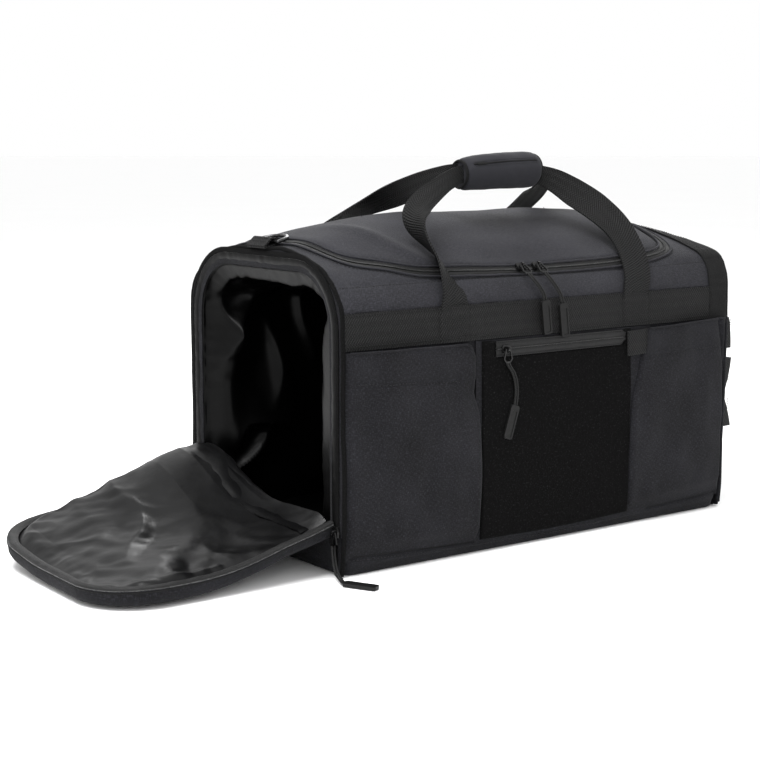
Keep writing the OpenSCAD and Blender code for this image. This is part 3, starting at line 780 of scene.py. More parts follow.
def make_base():
    """The base: a shallow tray with a soft lower edge, a piped seam and a sag between its corners."""
    rings = []
    for inset, z in ((120, 1.6), (60, 1.0), (24, 0.5), (9, 0.0), (3.5, 0.2), (0.8, 3.0), (0.0, 8.0)):
        q = plan_loop(inset)
        rings.append(np.column_stack([q, np.full(len(q), z)]))
    q = plan_loop(0)
    x, y = q[:, 0], q[:, 1]
    top = seam_height(x)
    for k in np.linspace(0.25, 1, 6):
        z = 8 + (top - 8) * k
        bulge = 1.8 * math.sin(math.pi * k) + 0.6 * noise((x, y, z), 40, 41)
        push = unit(np.column_stack([x * (np.abs(x) > HALF_L - 18), y * (np.abs(y) > HALF_W - 17)]))
        rings.append(place(x + push[:, 0] * bulge, y + push[:, 1] * (bulge + 1.0), z))
    P = np.stack(rings, 1)
    base = Piece().grid(P)
    inner = P[:, -1] - np.column_stack([unit(P[:, -1, :2]) * 4, np.zeros(len(P))])
    base.grid(np.stack([P[:, -1], inner], 1))
    core = np.repeat(np.array([[[0.0, 0.0, 1.8]]]), len(P), 0)
    base.grid(np.concatenate([core, P[:, :1]], 1))
    base.make("base_cloth", "body_cloth", ["base_panel"])
    seam = np.column_stack([P[:, -1, :2], P[:, -1, 2] + 0.3])[:-1]
    Piece().tube(seam, 1.0, 8, closed=True).make("base_seam", "binding")
    low = seam.copy()
    low[:, 2] -= 4
    push = unit(np.column_stack([low[:, :2] / [HALF_L, HALF_W], np.zeros(len(low))]))
    Piece().stitches(low + push * 1.8, push, 2.4, 4.4, 0.25).make("base_stitches", "stitch_thread")


make_shell()
make_lid()
make_zip_tapes()
make_bands()
make_base()


# ---- front pockets ----
def face(x, z, stand):
    """A point on the front face at a place and height, stand millimetres in front of the form."""
    p = form(x, height_index(z))
    p[..., 1] -= stand
    p[..., 2] = z
    return p


def slip_pocket(name, node, left, right, top, hem, slack, crease=lambda x, z: 0):
    """A flat pocket sewn at its foot and outer side, with a hemmed mouth that stands open."""
    u = np.concatenate([np.linspace(0, 0.06, 10), np.linspace(0.07, 0.93, 70), np.linspace(0.935, 1, 14)])
    v = np.concatenate([np.linspace(0, 0.08, 10), np.linspace(0.09, 1, 84)])
    U, V = lattice(u, v)
    z0 = seam_height(left(0.1) + (right(0.1) - left(0.1)) * U) + 0.8
    Z = z0 + (top(U) - z0) * V
    X = left(V) + (right(V) - left(V)) * U
    sewn_left = name.startswith("left")
    outer = U if sewn_left else 1 - U
    stand = 2.4 + 5.2 * ramp(0, 0.055, outer) * ramp(0, 0.09, V)
    free = (1 - U if sewn_left else U) * np.abs(right(0.5) - left(0.5))
    stand -= 5.2 * (1 - np.sqrt(np.clip(1 - (1 - np.clip(free / 7, 0, 1)) ** 2, 0, 1)))
    here = (X, 0, Z * 0.55)
    stand += slack * (1.6 * noise(here, 52, 51) + 0.8 * noise(here, 24, 52)) * ramp(0, 0.12, V)
    stand += 2.2 * slack * np.sin(np.pi * U) * np.sin(np.pi * V) ** 0.7
    stand += 1.5 * ramp(0.9, 1.0, V) * np.sin(np.pi * U)
    line = hem(U)
    stand += 0.8 * ramp(line - 0.7, line + 0.7, Z) - 0.7 * hill(Z, line, 1.1)
    stand += 0.5 * noise((X, 0, Z), 9, 53) * hill(Z, line, 9)
    stand += 0.8 * noise((0, 0, Z), 13, 54) * np.exp(-outer * 200 / 9)
    P = face(X, Z, stand + crease(X, Z))
    Piece().cloth(P, 1.5).make(name + "_cloth", "body_cloth", [node])
    rim = P[4:-6, -1]
    Piece().tube(rim + [0, -0.1, 0], 1.25, 8).make(name + "_hem", "body_cloth")
    t = np.linspace(0.02, 0.95, 90)
    sx = left(0.8) + (right(0.8) - left(0.8)) * t
    row = []
    for x in sx:
        i = int(np.argmin(np.abs(X[:, 60] - x)))
        j = int(np.argmin(np.abs(Z[i] - hem(u[i]))))
        row.append(P[i, j])
    row = np.array(row)
    row[:, 1] -= 0.1
    thread = Piece().stitches(spline(row[::5], 160), (0, -1, 0), 2.4, 4.2, 0.27)
    thread.make(name + "_stitches", "stitch_thread")


def make_slip_pockets():
    """The two pockets, and the gusset's fold down the right one's outer side."""
    def left_edge(v):
        z = 12 + np.asarray(v, float) * 220
        heights = [15, 88, 140, 158, 181, 199, 222, 232]
        return np.interp(z, heights, [-100, -98, -99, -101, -109, -108, -109, -113])

    slip_pocket("left_pocket", "left_slip_pocket", lambda v: -277.2 + 0 * v, left_edge,
                lambda u: 233.5 - 1.5 * u - 3.5 * ramp(0.93, 1, u), lambda u: 201 - 9.5 * u, 1.7)

    def right_edge(v):
        z = 14 + np.asarray(v, float) * 220
        return np.interp(z, [14, 111, 150, 180, 205, 232], [126, 126, 129, 137, 143, 148])

    def gusset(x, z):
        at = np.interp(z, [120, 165, 200, 236], [279, 275, 269, 262])
        return -3.6 * hill(x, at, 2.6) + 1.6 * hill(x - at, 6, 4) * ramp(120, 180, z)

    slip_pocket("right_pocket", "right_slip_pocket", right_edge, lambda v: 277.2 + 0 * v,
                lambda u: 231 + 4.0 * ramp(0, 0.9, u), lambda u: 198 + 4 * u, 1.4, gusset)


def make_loop_patch():
    """The panel between the pockets, and its loop patch with the window for the pocket's zip."""
    x, z = lattice(np.linspace(-106, 158, 60), np.linspace(10, 234, 50))
    P = face(x, z, 2.6 + 0.6 * noise((x, 0, z), 40, 61))
    Piece().cloth(P, 1.2).make("pocket_backing", "body_cloth", ["zip_pocket_panel"])
    u, v = lattice(np.linspace(0, 1, 190), np.linspace(0, 1, 190))
    x = -98.5 + (225 + 1.2 * noise((v * 220, 0, 0), 60, 62)) * u
    low = seam_height(x) + 1.5
    z = low + (233 - low) * v
    edge = np.minimum(np.minimum(u, 1 - u) * 225, np.minimum(v, 1 - v) * 215)
    here = place(x, 0, z)
    pile = 0.20 * noise(here, 3.1, 63) + 0.12 * noise(here, 1.7, 64)
    stand = 5.0 * np.sqrt(np.clip(edge / 2.4, 0, 1)) * 0.45 + 2.8 + pile * ramp(0, 3, edge)
    window = ramp(-84, -80, x) * ramp(117, 113, x) * ramp(213, 216, z)
    stand -= 1.6 * window
    stand += 1.2 * noise(here * [1, 1, 0.6], 75, 65)
    Piece().cloth(face(x, z, stand), 1.4).make("loop_patch", "loop_pile", ["loop_panel"])


def make_pocket_zip():
    """Coated tape with its closed line, and a rounded end."""
    for name, z0, z1 in (("pocket_tape_low", 215.6, 223.3), ("pocket_tape_high", 223.7, 231.5)):
        u, v = lattice(np.linspace(0, 1, 120), np.linspace(0, 1, 9))
        x = -80 + 195 * u
        z = z0 + (z1 - z0) * v
        low_half = name.endswith("low")
        z += 5.5 * ramp(0.955, 1.0, u) * (1 - v) if low_half else -3.5 * ramp(0.965, 1.0, u) * v
        stand = 4.6 + 1.0 * np.sin(math.pi * v) + 0.35 * noise((x, 0, z), 14, 66)
        piece = Piece().cloth(face(x, z, stand), 1.2)
        piece.make(name, "zip_cloth", ["pocket_zip_tape"] if low_half else ())
        edge = 0 if low_half else -1
        lip = face(x[:, edge], z[:, edge], 4.9)
        Piece().tube(lip, 0.8, 8).make(name + "_lip", "zip_cloth")
    x = np.linspace(-78, 112, 200)
    c = face(x, 223.5, 5.3)
    teeth(c, (0, -1, 0), 0.7).make("pocket_coil", "zip_coil")


def make_side_tab():
    """The short webbing tab between the patch and the right pocket."""
    u, v = lattice(np.linspace(0, 1, 26), np.linspace(0, 1, 18))
    x, z = 117 + 34 * u, 201 + 29 * v + 1.5 * u
    stand = 7.6 - 1.2 * (u > 0.93) + 0.5 * np.sin(math.pi * u) + 0.3 * noise((x, 0, z), 12, 67)
    Piece().cloth(face(x, z, stand), 1.8).make("side_tab", "webbing", ["webbing_tab"])
    thread = Piece()
    for x, z in ((119.5, 203), (147.5, 204)):
        thread.stitches(face(x, np.linspace(z, z + 25, 14), 8.2), (0, -1, 0), 2.2, 3.4, 0.3)
    thread.make("side_tab_stitches", "stitch_thread")


def make_shoulder_stitches():
    """The topstitched seam along both shoulders."""
    xs = np.linspace(-HALF_L + 4, HALF_L - 26, 260)
    thread = Piece()
    for s in (6.52, ROUND - 6.52):
        sew(thread, xs, s, 0.15)
    thread.make("shoulder_stitches", "stitch_thread")


# ---- closed end ----
def make_right_end():
    """The soft panel that closes the end, full in its middle and puckered along its seam."""
    s = np.linspace(0.05, CROWN - 0.02, 110)
    t = np.linspace(0, 1, 100)
    S, T = lattice(s, t)
    a = skin(HALF_L - 0.5, S)
    b = skin(HALF_L - 0.5, ROUND - S)
    P = a * (1 - T[..., None]) + b * T[..., None]
    y, z = P[..., 1], P[..., 2]
    width = b[..., 1] - a[..., 1]
    margin = np.minimum(np.minimum(T, 1 - T) * width, 338 - z + 0 * T)
    here = (0, y, z * 0.6)
    out = 1.5 + 4.5 * ramp(0, 60, margin) + 2.2 * noise(here, 70, 71) * ramp(0, 30, margin)
    out += 1.0 * noise((0, y, z), 14, 72) * np.exp(-margin / 12)
    P[..., 0] = HALF_L + 1.5 + out * 0.75
    Piece().cloth(P, 1.6).make("right_end_cloth", "body_cloth", ["right_end_panel"])


def make_end_binding():
    """A wide tape round the deck's end with four stitched rows, and a welt along its edge."""
    S = np.linspace(3.9, ROUND - 3.9, 260)
    X = np.linspace(HALF_L - 25.5, HALF_L + 4.5, 18)
    x, ss = lattice(X, S)
    p = skin(np.minimum(x, HALF_L), ss, 2.6 + 0.35 * noise((x, ss * 24, 0), 14, 73))
    p[..., 0] = x
    bend = ramp(HALF_L, HALF_L + 4.5, x)
    centre = np.array([0, 0, 180.0])
    inward = unit((centre - p) * [0, 1, 1])
    p = p + inward * (2.6 * bend**2)[..., None]
    Piece().cloth(p, 1.8).make("end_binding", "binding", ["right_end_binding"])
    welt = p[-1] + inward[-1] * 0.8
    Piece().tube(welt, 2.3, 10, up=(1, 0, 0)).make("end_welt", "binding")
    thread = Piece()
    for off in (3.0, 9.5, 16.0, 22.5):
        sew(thread, HALF_L - off, S, 3.0, 2.4, 4.0, 0.28)
    thread.make("end_binding_stitches", "stitch_thread")


def make_corner_seams():
    """The seam down each corner below the binding."""
    for name, side in (("front_corner_seam", 0), ("back_corner_seam", 1)):
        q = np.linspace(0.9, 4.0, 90)
        c = skin(HALF_L, ROUND - q if side else q, 0.2)
        c[:, 0] += 2.4
        Piece().tube(c, 2.8, 10, up=(1, 0, 0)).make(name, "body_cloth")


LADDER_HALF, LOOP_PITCH = 148, 74


def make_ladder():
    """Three rows of webbing across the closed end, each sewn down between four standing loops."""
    for name, height, lean in (("top", 215, -0.12), ("middle", 165, 0.24), ("bottom", 117, -0.34)):
        y = np.linspace(-LADDER_HALF, LADDER_HALF, 297)
        t = np.mod(y + LADDER_HALF, LOOP_PITCH) / LOOP_PITCH
        near = ramp(-LOOP_PITCH, -90, y) + ramp(LOOP_PITCH, 90, y)
        peak = np.where(y < 0, t ** (1 - 0.52 * near), 1 - (1 - t) ** (1 - 0.52 * near))
        bulge = (13.5 + 6.5 * near) * np.sin(np.pi * peak) ** (0.8 - 0.2 * near)
        bulge *= 1 + 0.10 * noise((y, 0, height), 45, 81)
        base = HALF_L + 6.0 + 2.0 * np.sin(np.pi * (y + 150) / 300) - 2.0 * ramp(120, 148, np.abs(y))
        sag = -2.2 * np.sin(np.pi * t) + 0.8 * noise((y, 0, height), 60, 82)
        path = place(base + bulge * (0.82 + 0.15 * near), y, height + sag)
        across = unit(place(lean * near, 0, 1 + 0 * y))
        row = Piece().ribbon(path, across, 38, 2.0, 11, curl=0.08)
        row.make("ladder_" + name, "webbing", ["ladder_row_" + name])
        thread = Piece()
        for at in (2 - LADDER_HALF, -LOOP_PITCH, 0, LOOP_PITCH, LADDER_HALF - 2):
            for k in np.linspace(-1.6, 1.6, 3):
                z = np.linspace(height - 17, height + 17, 30)
                x = np.interp(at + k, y, path[:, 0]) + 1.4
                thread.stitches(place(x, at + k, z), (1, 0, 0), 2.0, 2.9, 0.42)
        thread.make("ladder_" + name + "_tacks", "stitch_thread")


def make_ring_tabs():
    """Webbing loops folded round each strap ring's bar, and sewn down."""
    bar = 3.2
    for name, node, at, turn, tail in (("left_loop", "left_ring_tab", (-272.0, 0, 340.2), -12.5, 15),
                                       ("right_loop", "right_ring_tab", (282.1, 0, 297.0), 90, 24)):
        # drawn with the fold towards +x and both tails towards -x
        a = np.radians(np.linspace(-95, 95, 17))
        loop = place(bar * np.cos(a) * 1.25, 0, bar * np.sin(a))
        t = np.linspace(0, 1, 12)
        up = place(-tail * t, 0, np.interp(t, [0, 0.25, 1], [bar, bar + 1.6, -1.6]))[1:]
        down = place(-tail * t[::-1], 0, -bar)[:-1]
        path = np.vstack([down, loop, up])
        path = path @ np.array(Matrix.Rotation(math.radians(turn), 3, "Y")).T + np.array(at)
        if name == "left_loop":
            path[:, 0] = np.maximum(path[:, 0], -286.5)
            low = skin(np.clip(path[:, 0], -HALF_L, HALF_L), CROWN, 1.2)[:, 2]
            path[:, 2] = np.maximum(path[:, 2], low)
        else:
            path[:, 0] = np.maximum(path[:, 0], 279.9)
        Piece().ribbon(path, (0, 1, 0), 36, 1.8, 13).make(name, "webbing", [node])
        thread = Piece()
        for j in (-8, -5):
            line = place(path[j, 0], np.linspace(-15, 15, 20), path[j, 2])
            n = unit(np.cross((0, 1, 0), path[j + 1] - path[j]))
            n *= np.sign(n[2] if name == "left_loop" else n[0])
            thread.stitches(line + n * 1.2, n, 2.2, 3.4, 0.32)
        thread.make(name + "_stitches", "stitch_thread")


# ---- handles ----
def make_leg(piece, stations):
    """A webbing leg: each station is its centre, the direction of its width, and its width."""
    stations = np.array(stations, float)
    marks = walked(stations[:, :3])
    path = spline(stations[:, :3], 90)
    lie = sample(stations[:, 3:], marks, np.linspace(0, marks[-1], len(path)))
    along = unit(np.gradient(path, axis=0))
    across = unit(lie[:, :3] - along * np.sum(lie[:, :3] * along, 1, keepdims=True))
    piece.ribbon(path, smooth(across, 9), lie[:, 3], 1.9, 9, curl=0.10)


def make_handles():
    """Two straps of two legs and a bar each, that stand up and meet in the grip."""
    front_right = [
        (135.5, -150.6, 262, 1, 0, 0, 38), (135.5, -151.8, 275, 1, 0, 0, 38),
        (139, -150, 290, 1, -0.02, 0.06, 38), (144, -140, 309, 1, 0, 0.12, 39),
        (145, -126, 330, 1, 0.05, 0.28, 39.5), (139, -111, 351, 0.85, 0.12, 0.52, 39.5),
        (121, -97, 371, 0.60, 0.2, 0.78, 39), (98, -83, 388, 0.35, 0.15, 0.93, 35),
        (78, -73, 401, 0.12, 0.1, 1, 28), (56, -66, 409, 0, 0.05, 1, 21), (40, -64, 411, 0, 0.05, 1, 19),
    ]
    front_left = [
        (-134, -150.6, 260, 1, 0, 0, 38), (-134, -151.8, 273, 1, 0, 0, 38),
        (-134, -151, 286, 0.96, 0.28, 0, 37), (-135, -142, 303, 0.82, 0.57, 0, 36),
        (-138, -131, 321, 0.60, 0.8, 0, 35), (-146, -119, 339, 0.30, 0.93, 0.1, 34),
        (-150, -108, 355, 0.06, 0.97, 0.2, 32), (-146, -99, 369, -0.15, 0.85, 0.4, 30),
        (-132, -91, 380, -0.3, 0.6, 0.72, 27), (-110, -83, 391, -0.25, 0.4, 0.88, 24),
        (-84, -74, 402, -0.1, 0.25, 0.96, 21), (-60, -67, 409, 0, 0.1, 1, 20),
        (-40, -64, 411, 0, 0.05, 1, 19),
    ]
    rear_right = [
        (135, 150.8, 262, 1, 0, 0, 38), (135, 152, 275, 1, 0, 0, 38), (140, 150, 292, 1, 0, 0.05, 38),
        (147, 135, 318, 1, -0.1, 0.15, 38), (152, 108, 342, 0.95, -0.25, 0.2, 38),
        (151, 78, 360, 0.88, -0.42, 0.2, 38), (142, 46, 375, 0.84, -0.5, 0.2, 37),
        (122, 8, 389, 0.8, -0.55, 0.25, 34), (98, -26, 400, 0.6, -0.45, 0.65, 28),
        (70, -50, 409, 0, -0.1, 1, 21), (44, -57, 412, 0, -0.05, 1, 19),
    ]
    rear_left = [
        (-135, 150.8, 262, 1, 0, 0, 38), (-135, 152, 275, 1, 0, 0, 38), (-134, 150, 292, 1, 0, 0, 38),
        (-129, 136, 319, 1, 0.15, -0.05, 38), (-116, 112, 343, 0.85, 0.4, -0.2, 37),
        (-97, 84, 362, 0.65, 0.6, -0.4, 36), (-80, 54, 377, 0.4, 0.6, -0.65, 33),
        (-71, 20, 390, 0.25, 0.4, -0.88, 29), (-70, -12, 400, 0.15, 0.25, -0.95, 25),
        (-67, -38, 407, 0.05, 0.1, -1, 22), (-60, -53, 411, 0, 0.1, -1, 20),
        (-44, -57, 412, 0, 0.05, -1, 19),
    ]
    for side, legs, reach, y, z in (("front", (front_right, front_left), 44, -64, 411),
                                    ("rear", (rear_right, rear_left), 46, -57, 412)):
        strap = Piece()
        for leg in legs:
            make_leg(strap, leg)
        strap.ribbon(place(np.linspace(-reach, reach, 20), y, z), (0, 0.05, 1), 19, 1.9, 7)
        strap.make(side + "_strap", "webbing", [side + "_handle"], body=side + "_handle")


GRIP = np.array([0.0, -60.0, 413.0])
GRIP_REACH = 56
# Where the wrap's closing seam lies, turned from straight back
GRIP_SEAM = math.radians(148)


def grip_point(x, a, shrink=0.0):
    """A point of the grip's wrap: an oval sleeve, softer and lower at its ends."""
    u = np.abs(x) / GRIP_REACH
    taper = np.clip(x / GRIP_REACH, -1, 1)
    r = 20.4 - shrink - 1.6 * ramp(0.86, 1.0, u) + 0.9 * np.cos(u * 2.2) + 1.3 * taper
    flat = 0.93 + 0.02 * np.cos(u * 3)
    droop = -1.5 * u**2 + 2.0 * taper
    y = GRIP[1] + r * flat * np.cos(a)
    z = GRIP[2] + droop + r * 0.95 * np.sin(a)
    return place(x + 0 * a, y, z)


def make_grip():
    """The padded sleeve, as one closed form that the cloth simulation rounds off."""
    x, a = lattice(np.linspace(-54, 54, 64), np.linspace(0, TAU, 73))
    base = grip_point(x, a, -0.4)
    here = base * [0.5, 1, 1]
    gap = np.angle(np.exp(1j * (a - GRIP_SEAM)))
    bump = 0.9 * noise(here, 18, 91) + 0.5 * noise(base, 9, 92)
    bump -= 1.5 * hill(gap, 0, 0.07) * ramp(50, 44, np.abs(x))
    bump += 0.7 * hill(gap, 0.16, 0.10) + 0.7 * hill(gap, -0.16, 0.10)
    out = base - GRIP
    out[..., 0] = 0
    P = base + unit(out) * bump[..., None]
    wrap = Piece().grid(P)
    for end in (0, -1):
        rim = P[end][None]
        c = P[end].mean(0)
        disc = np.concatenate([rim * (1 - k) + c * k for k in (0.0, 0.12, 0.35, 0.7, 0.999)])
        disc[..., 0] += np.array([0, 0.8, 0.2, -0.6, -1.0])[:, None] * (1 if end else -1)
        wrap.grid(disc, flip=end == 0)
    # The sleeve takes the lighter top finish: painted light from above.
    o = wrap.make("grip_sleeve", "top_cloth_painted_light", body=None)
    inflate(o, 3.5, 6.0)
    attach(o, "rear_handle")
    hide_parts("grip_wrap", "grip_foam")
    return o


def make_grip_trim(o):
    """Piping at both ends of the sleeve, and its closing seam with a stitch line on each side."""
    for name, end in (("left", -1), ("right", 1)):
        a = np.linspace(0, TAU, 49)[:-1]
        c = grip_point(end * 54.3, a, 1.4)
        ring = Piece().tube(c, 1.7, 8, closed=True, up=(1, 0, 0))
        ring.make("grip_piping_" + name, "binding", body="rear_handle")
    # the seam lies on the finished surface
    verts = np.array([v.co for v in o.data.vertices]) / MM
    mid = GRIP[2] + 2.0 * verts[:, 0] / GRIP_REACH
    turn = np.arctan2(verts[:, 2] - mid, verts[:, 1] - GRIP[1])
    radius = np.hypot(verts[:, 2] - mid, verts[:, 1] - GRIP[1])
    xs = np.linspace(-46, 46, 80)

    def on_sleeve(angle, lift):
        near = np.abs(np.angle(np.exp(1j * (turn - angle)))) < 0.16
        r = np.array([radius[near & (np.abs(verts[:, 0] - x) < 6)].max() for x in xs]) + lift
        r = np.convolve(np.pad(r, 4, "edge"), np.ones(9) / 9, "valid")
        z = GRIP[2] + 2.0 * xs / GRIP_REACH + r * math.sin(angle)
        return place(xs, GRIP[1] + r * math.cos(angle), z)

    up = np.array([0, math.cos(GRIP_SEAM), math.sin(GRIP_SEAM)])
    seam = Piece().tube(on_sleeve(GRIP_SEAM, -0.2), 0.9, 8)
    seam.tube(on_sleeve(GRIP_SEAM, -0.1)[4:16], 1.9, 8, flat=0.6, up=up)
    seam.make("grip_seam", "binding", body="rear_handle")
    thread = Piece()
    for off in (-0.15, 0.15):
        thread.stitches(on_sleeve(GRIP_SEAM + off, 0.0), up, 2.2, 3.8, 0.28)
    thread.make("grip_stitches", "stitch_thread", body="rear_handle")


INFLATE_FRAMES = 20


def inflate(o, voxel, cap):
    """Remeshes a closed form, blows it up a little with cloth, caps how far it went, and smooths it."""
    layer = bpy.context.view_layer
    for other in bpy.context.selected_objects:
        other.select_set(False)
    layer.objects.active = o
    o.select_set(True)
    m = o.modifiers.new("remesh", "REMESH")
    m.mode, m.voxel_size = "VOXEL", voxel * MM
    bpy.ops.object.modifier_apply(modifier=m.name)
    rest = np.array([v.co for v in o.data.vertices])
    c = o.modifiers.new("cloth", "CLOTH")
    c.settings.use_pressure = True
    c.settings.uniform_pressure_force = 4
    c.settings.tension_stiffness = c.settings.compression_stiffness = 20
    c.settings.effector_weights.gravity = 0
    scene = bpy.context.scene
    c.point_cache.frame_start, c.point_cache.frame_end = 1, INFLATE_FRAMES
    for f in range(1, INFLATE_FRAMES + 1):
        scene.frame_set(f)
    blown = o.evaluated_get(bpy.context.evaluated_depsgraph_get())
    move = np.array([v.co for v in blown.data.vertices]) - rest
    size = np.linalg.norm(move, axis=1, keepdims=True)
    move *= np.minimum(1, cap * MM / np.maximum(size, 1e-9))
    o.modifiers.remove(c)
    o.data.vertices.foreach_set("co", (rest + move).astype(np.float32).ravel())
    o.data.update()
    scene.frame_set(1)
    s = o.modifiers.new("smooth", "SUBSURF")
    s.levels = s.render_levels = 1
    bpy.ops.object.modifier_apply(modifier=s.name)
    o.data.polygons.foreach_set("use_smooth", [True] * len(o.data.polygons))


# ---- zip pulls ----
STRAND = 1.6
PULLS = {
    "lid_left": [(-27, -149, 302.4), (-25.5, -152.5, 298.5), (-22, -155.5, 293), (-17.5, -157.5, 286.5),
                 (-13.5, -158.4, 280), (-11.5, -158.4, 273)],
    "lid_right": [(-3, -149, 302.4), (-1, -152.5, 298), (3, -155.5, 291.5), (8, -157.5, 284),
                  (12.5, -158.4, 276), (15, -158.4, 268.5)],
    "pocket": [(-66, -160.4, 208), (-63, -160.4, 203), (-58, -160, 197), (-54, -159.6, 188),
               (-52, -159.2, 178), (-52, -158.8, 168), (-53, -158.4, 160)],
    "door": [(-287.5, -146, 34), (-287.5, -146.5, 27), (-287.8, -148, 20), (-288.5, -151, 13),
             (-289.5, -155, 8), (-291, -161.5, 5), (-292.5, -168, 3.2), (-294, -174.5, 2.2)],
}


def refinish(node, finish):
    """A CAD node keeps its shape and gets its finish."""
    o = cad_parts[node]
    o.data.materials.clear()
    o.data.materials.append(FINISHES[finish])
    return o


def fine_bevel(node, finish, width, segments=2):
    """A CAD node gets its finish, and rounded edges."""
    b = refinish(node, finish).modifiers.new("soft_edges", "BEVEL")
    b.width, b.segments, b.limit_method, b.angle_limit = width * MM, segments, "ANGLE", math.radians(40)


def make_pulls():
    """Sliders, rings and tabs in their finishes, and the two strands of cord of each pull."""
    for prefix, route in PULLS.items():
        for number in (1, 2):
            path = spline(np.array(route, float) + [STRAND * (2 * number - 3), 0, 0], 40)
            node = [prefix + "_cord"] if number == 1 else ()
            strand = Piece().tube(path, 1.2, 10)
            o = strand.make("%s_strand_%d" % (prefix, number), "cord_braid", node, body=prefix + "_pull")
        fine_bevel(prefix + "_tab", "moulded_tab", 0.5, 3)
        fine_bevel(prefix + "_slider", "painted_metal", 0.45, 2)
        fine_bevel(prefix + "_pull_ring", "painted_metal", 0.6, 3)
    for node in ("left_ring", "right_ring"):
        refinish(node, "ring_steel")
    fine_bevel("base_board", "stiff_board", 0.3)


make_slip_pockets()
make_loop_patch()
make_pocket_zip()
make_side_tab()
make_shoulder_stitches()
make_right_end()
make_end_binding()
make_corner_seams()
make_ladder()
make_ring_tabs()
make_handles()
make_grip_trim(make_grip())
make_pulls()


# ---- open end: frame, lining and drop-down door ----
def arch(grow, low, count):
    """The opening's outline (y, z), from the front's foot up over the top and down the rear."""
    half, top, r = 130 + grow, 312 + grow, 60 + grow
    a = np.radians(np.linspace(180, 90, 14))
    left = np.column_stack([-half + r + r * np.cos(a), top - r + r * np.sin(a)])
    pts = np.vstack([[-half, low], left, (left * [-1, 1])[::-1], [half, low]])
    return even(pts, count)


def end_ring(count):
    """The cross-section at the open end matched point for point with the opening."""
    inner = arch(0, 50, count)
    s = np.linspace(1.7, 20.3, 700)
    outer = skin(-HALF_L, s, 0.3)
    centre = np.array([0, 170.0])
    ang_in = np.unwrap(np.arctan2(inner[:, 1] - centre[1], inner[:, 0] - centre[0]))
    ang_out = np.unwrap(np.arctan2(outer[:, 2] - centre[1], outer[:, 1] - centre[0]))
    order = np.argsort(ang_out)
    at = np.interp(ang_in, ang_out[order], s[order])
    return inner, at


FRAME_POINTS = 300


def make_left_end():
    """The open end's frame: cloth between the outer form and the opening, and across its foot."""
    inner, s = end_ring(FRAME_POINTS)
    outer = skin(-HALF_L, s, 0.3)
    k = np.linspace(0, 1, 8)
    P = outer[:, None] * (1 - k[None, :, None])
    P[..., 1:] += inner[:, None] * k[None, :, None]
    P[..., 0] = -HALF_L - 0.6 - 1.5 * np.sin(np.pi * k)[None, :] + 0.5 * noise(P, 22, 101)
    frame_cloth = Piece().cloth(P, 1.4, out=-1)
    y, z = lattice(np.linspace(-149, 149, 120), np.linspace(7, 54, 16))
    q = place(-HALF_L - 0.8, y, z)
    q[..., 0] -= 1.2 * noise(q, 45, 102) + 1.0
    frame_cloth.cloth(q, 1.4, out=-1)
    frame_cloth.make("left_end_cloth", "body_cloth", ["left_end_frame"])


def make_left_piping():
    """The cord sewn in round the open end's rim."""
    c = skin(-HALF_L, np.linspace(0.7, 21.3, 420), 0.7)
    c[:, 0] = -HALF_L - 0.8 + 0.5 * noise(c, 30, 103)
    piping = Piece().tube(c, 2.5, 10, up=(1, 0, 0))
    # The piping's finish is the zip cloth darkened: painted shade on the open end.
    piping.make("left_piping", "painted_shade_cloth", ["left_end_piping"], "binding")


def make_frame_zip():
    """The tape and coil on the frame that the door's own close on."""
    rings = [arch(g, 54, FRAME_POINTS) for g in np.linspace(18.2, 13.2, 8)]
    P = np.stack([np.column_stack([np.full(FRAME_POINTS, 0.0), r]) for r in rings], 1)
    P[..., 0] = -HALF_L - 3.0 - 0.7 * np.sin(np.pi * np.linspace(0, 1, 8))[None] + 0.4 * noise(P, 16, 104)
    # The tape's finish is the zip cloth darkened: painted shade on the open end.
    Piece().cloth(P, 1.2, out=-1).make("frame_tape", "painted_shade_cloth", ["frame_zip_tape"])
    edge = P[:, -1] + [-0.5, 0, 0]
    dense = sample(edge, np.arange(FRAME_POINTS), np.linspace(0, FRAME_POINTS - 1, 900))
    # The coil's finish carries painted glints.
    teeth(dense, (-1, 0, 0), 0.75).make("frame_coil", "painted_glint_coil")
    Piece().stitches(P[:, 2] + [-0.5, 0, 0], (-1, 0, 0), 2.4, 4.0, 0.28).make(
        "frame_stitches", "stitch_thread")


def crease_line(x, z, points, height, soft, side):
    """A sagging fold's height near a line in x and z: sharp at the line, softer on one side of it."""
    pts = spline(np.array(points, float), 60)
    d = np.full(x.shape, 1e9)
    sign = np.ones(x.shape)
    fade = np.zeros(x.shape)
    for i in range(len(pts) - 1):
        a, b = pts[i], pts[i + 1]
        v = b - a
        w = np.clip(((x - a[0]) * v[0] + (z - a[1]) * v[1]) / (v @ v), 0, 1)
        dx, dz = x - a[0] - v[0] * w, z - a[1] - v[1] * w
        dist = np.hypot(dx, dz)
        near = dist < d
        d = np.where(near, dist, d)
        sign = np.where(near, (v[0] * dz - v[1] * dx) / np.hypot(v[0], v[1]), sign)
        fade = np.where(near, (i + w) / (len(pts) - 1), fade)
    width = soft * (0.72 + 0.28 * np.tanh(sign * side / 7))
    body = np.sin(np.pi * np.clip(fade, 0, 1)) ** 0.6
    return height * body * np.exp(-((np.sqrt(d**2 + 3.0) / width) ** 1.15)) * 1.15


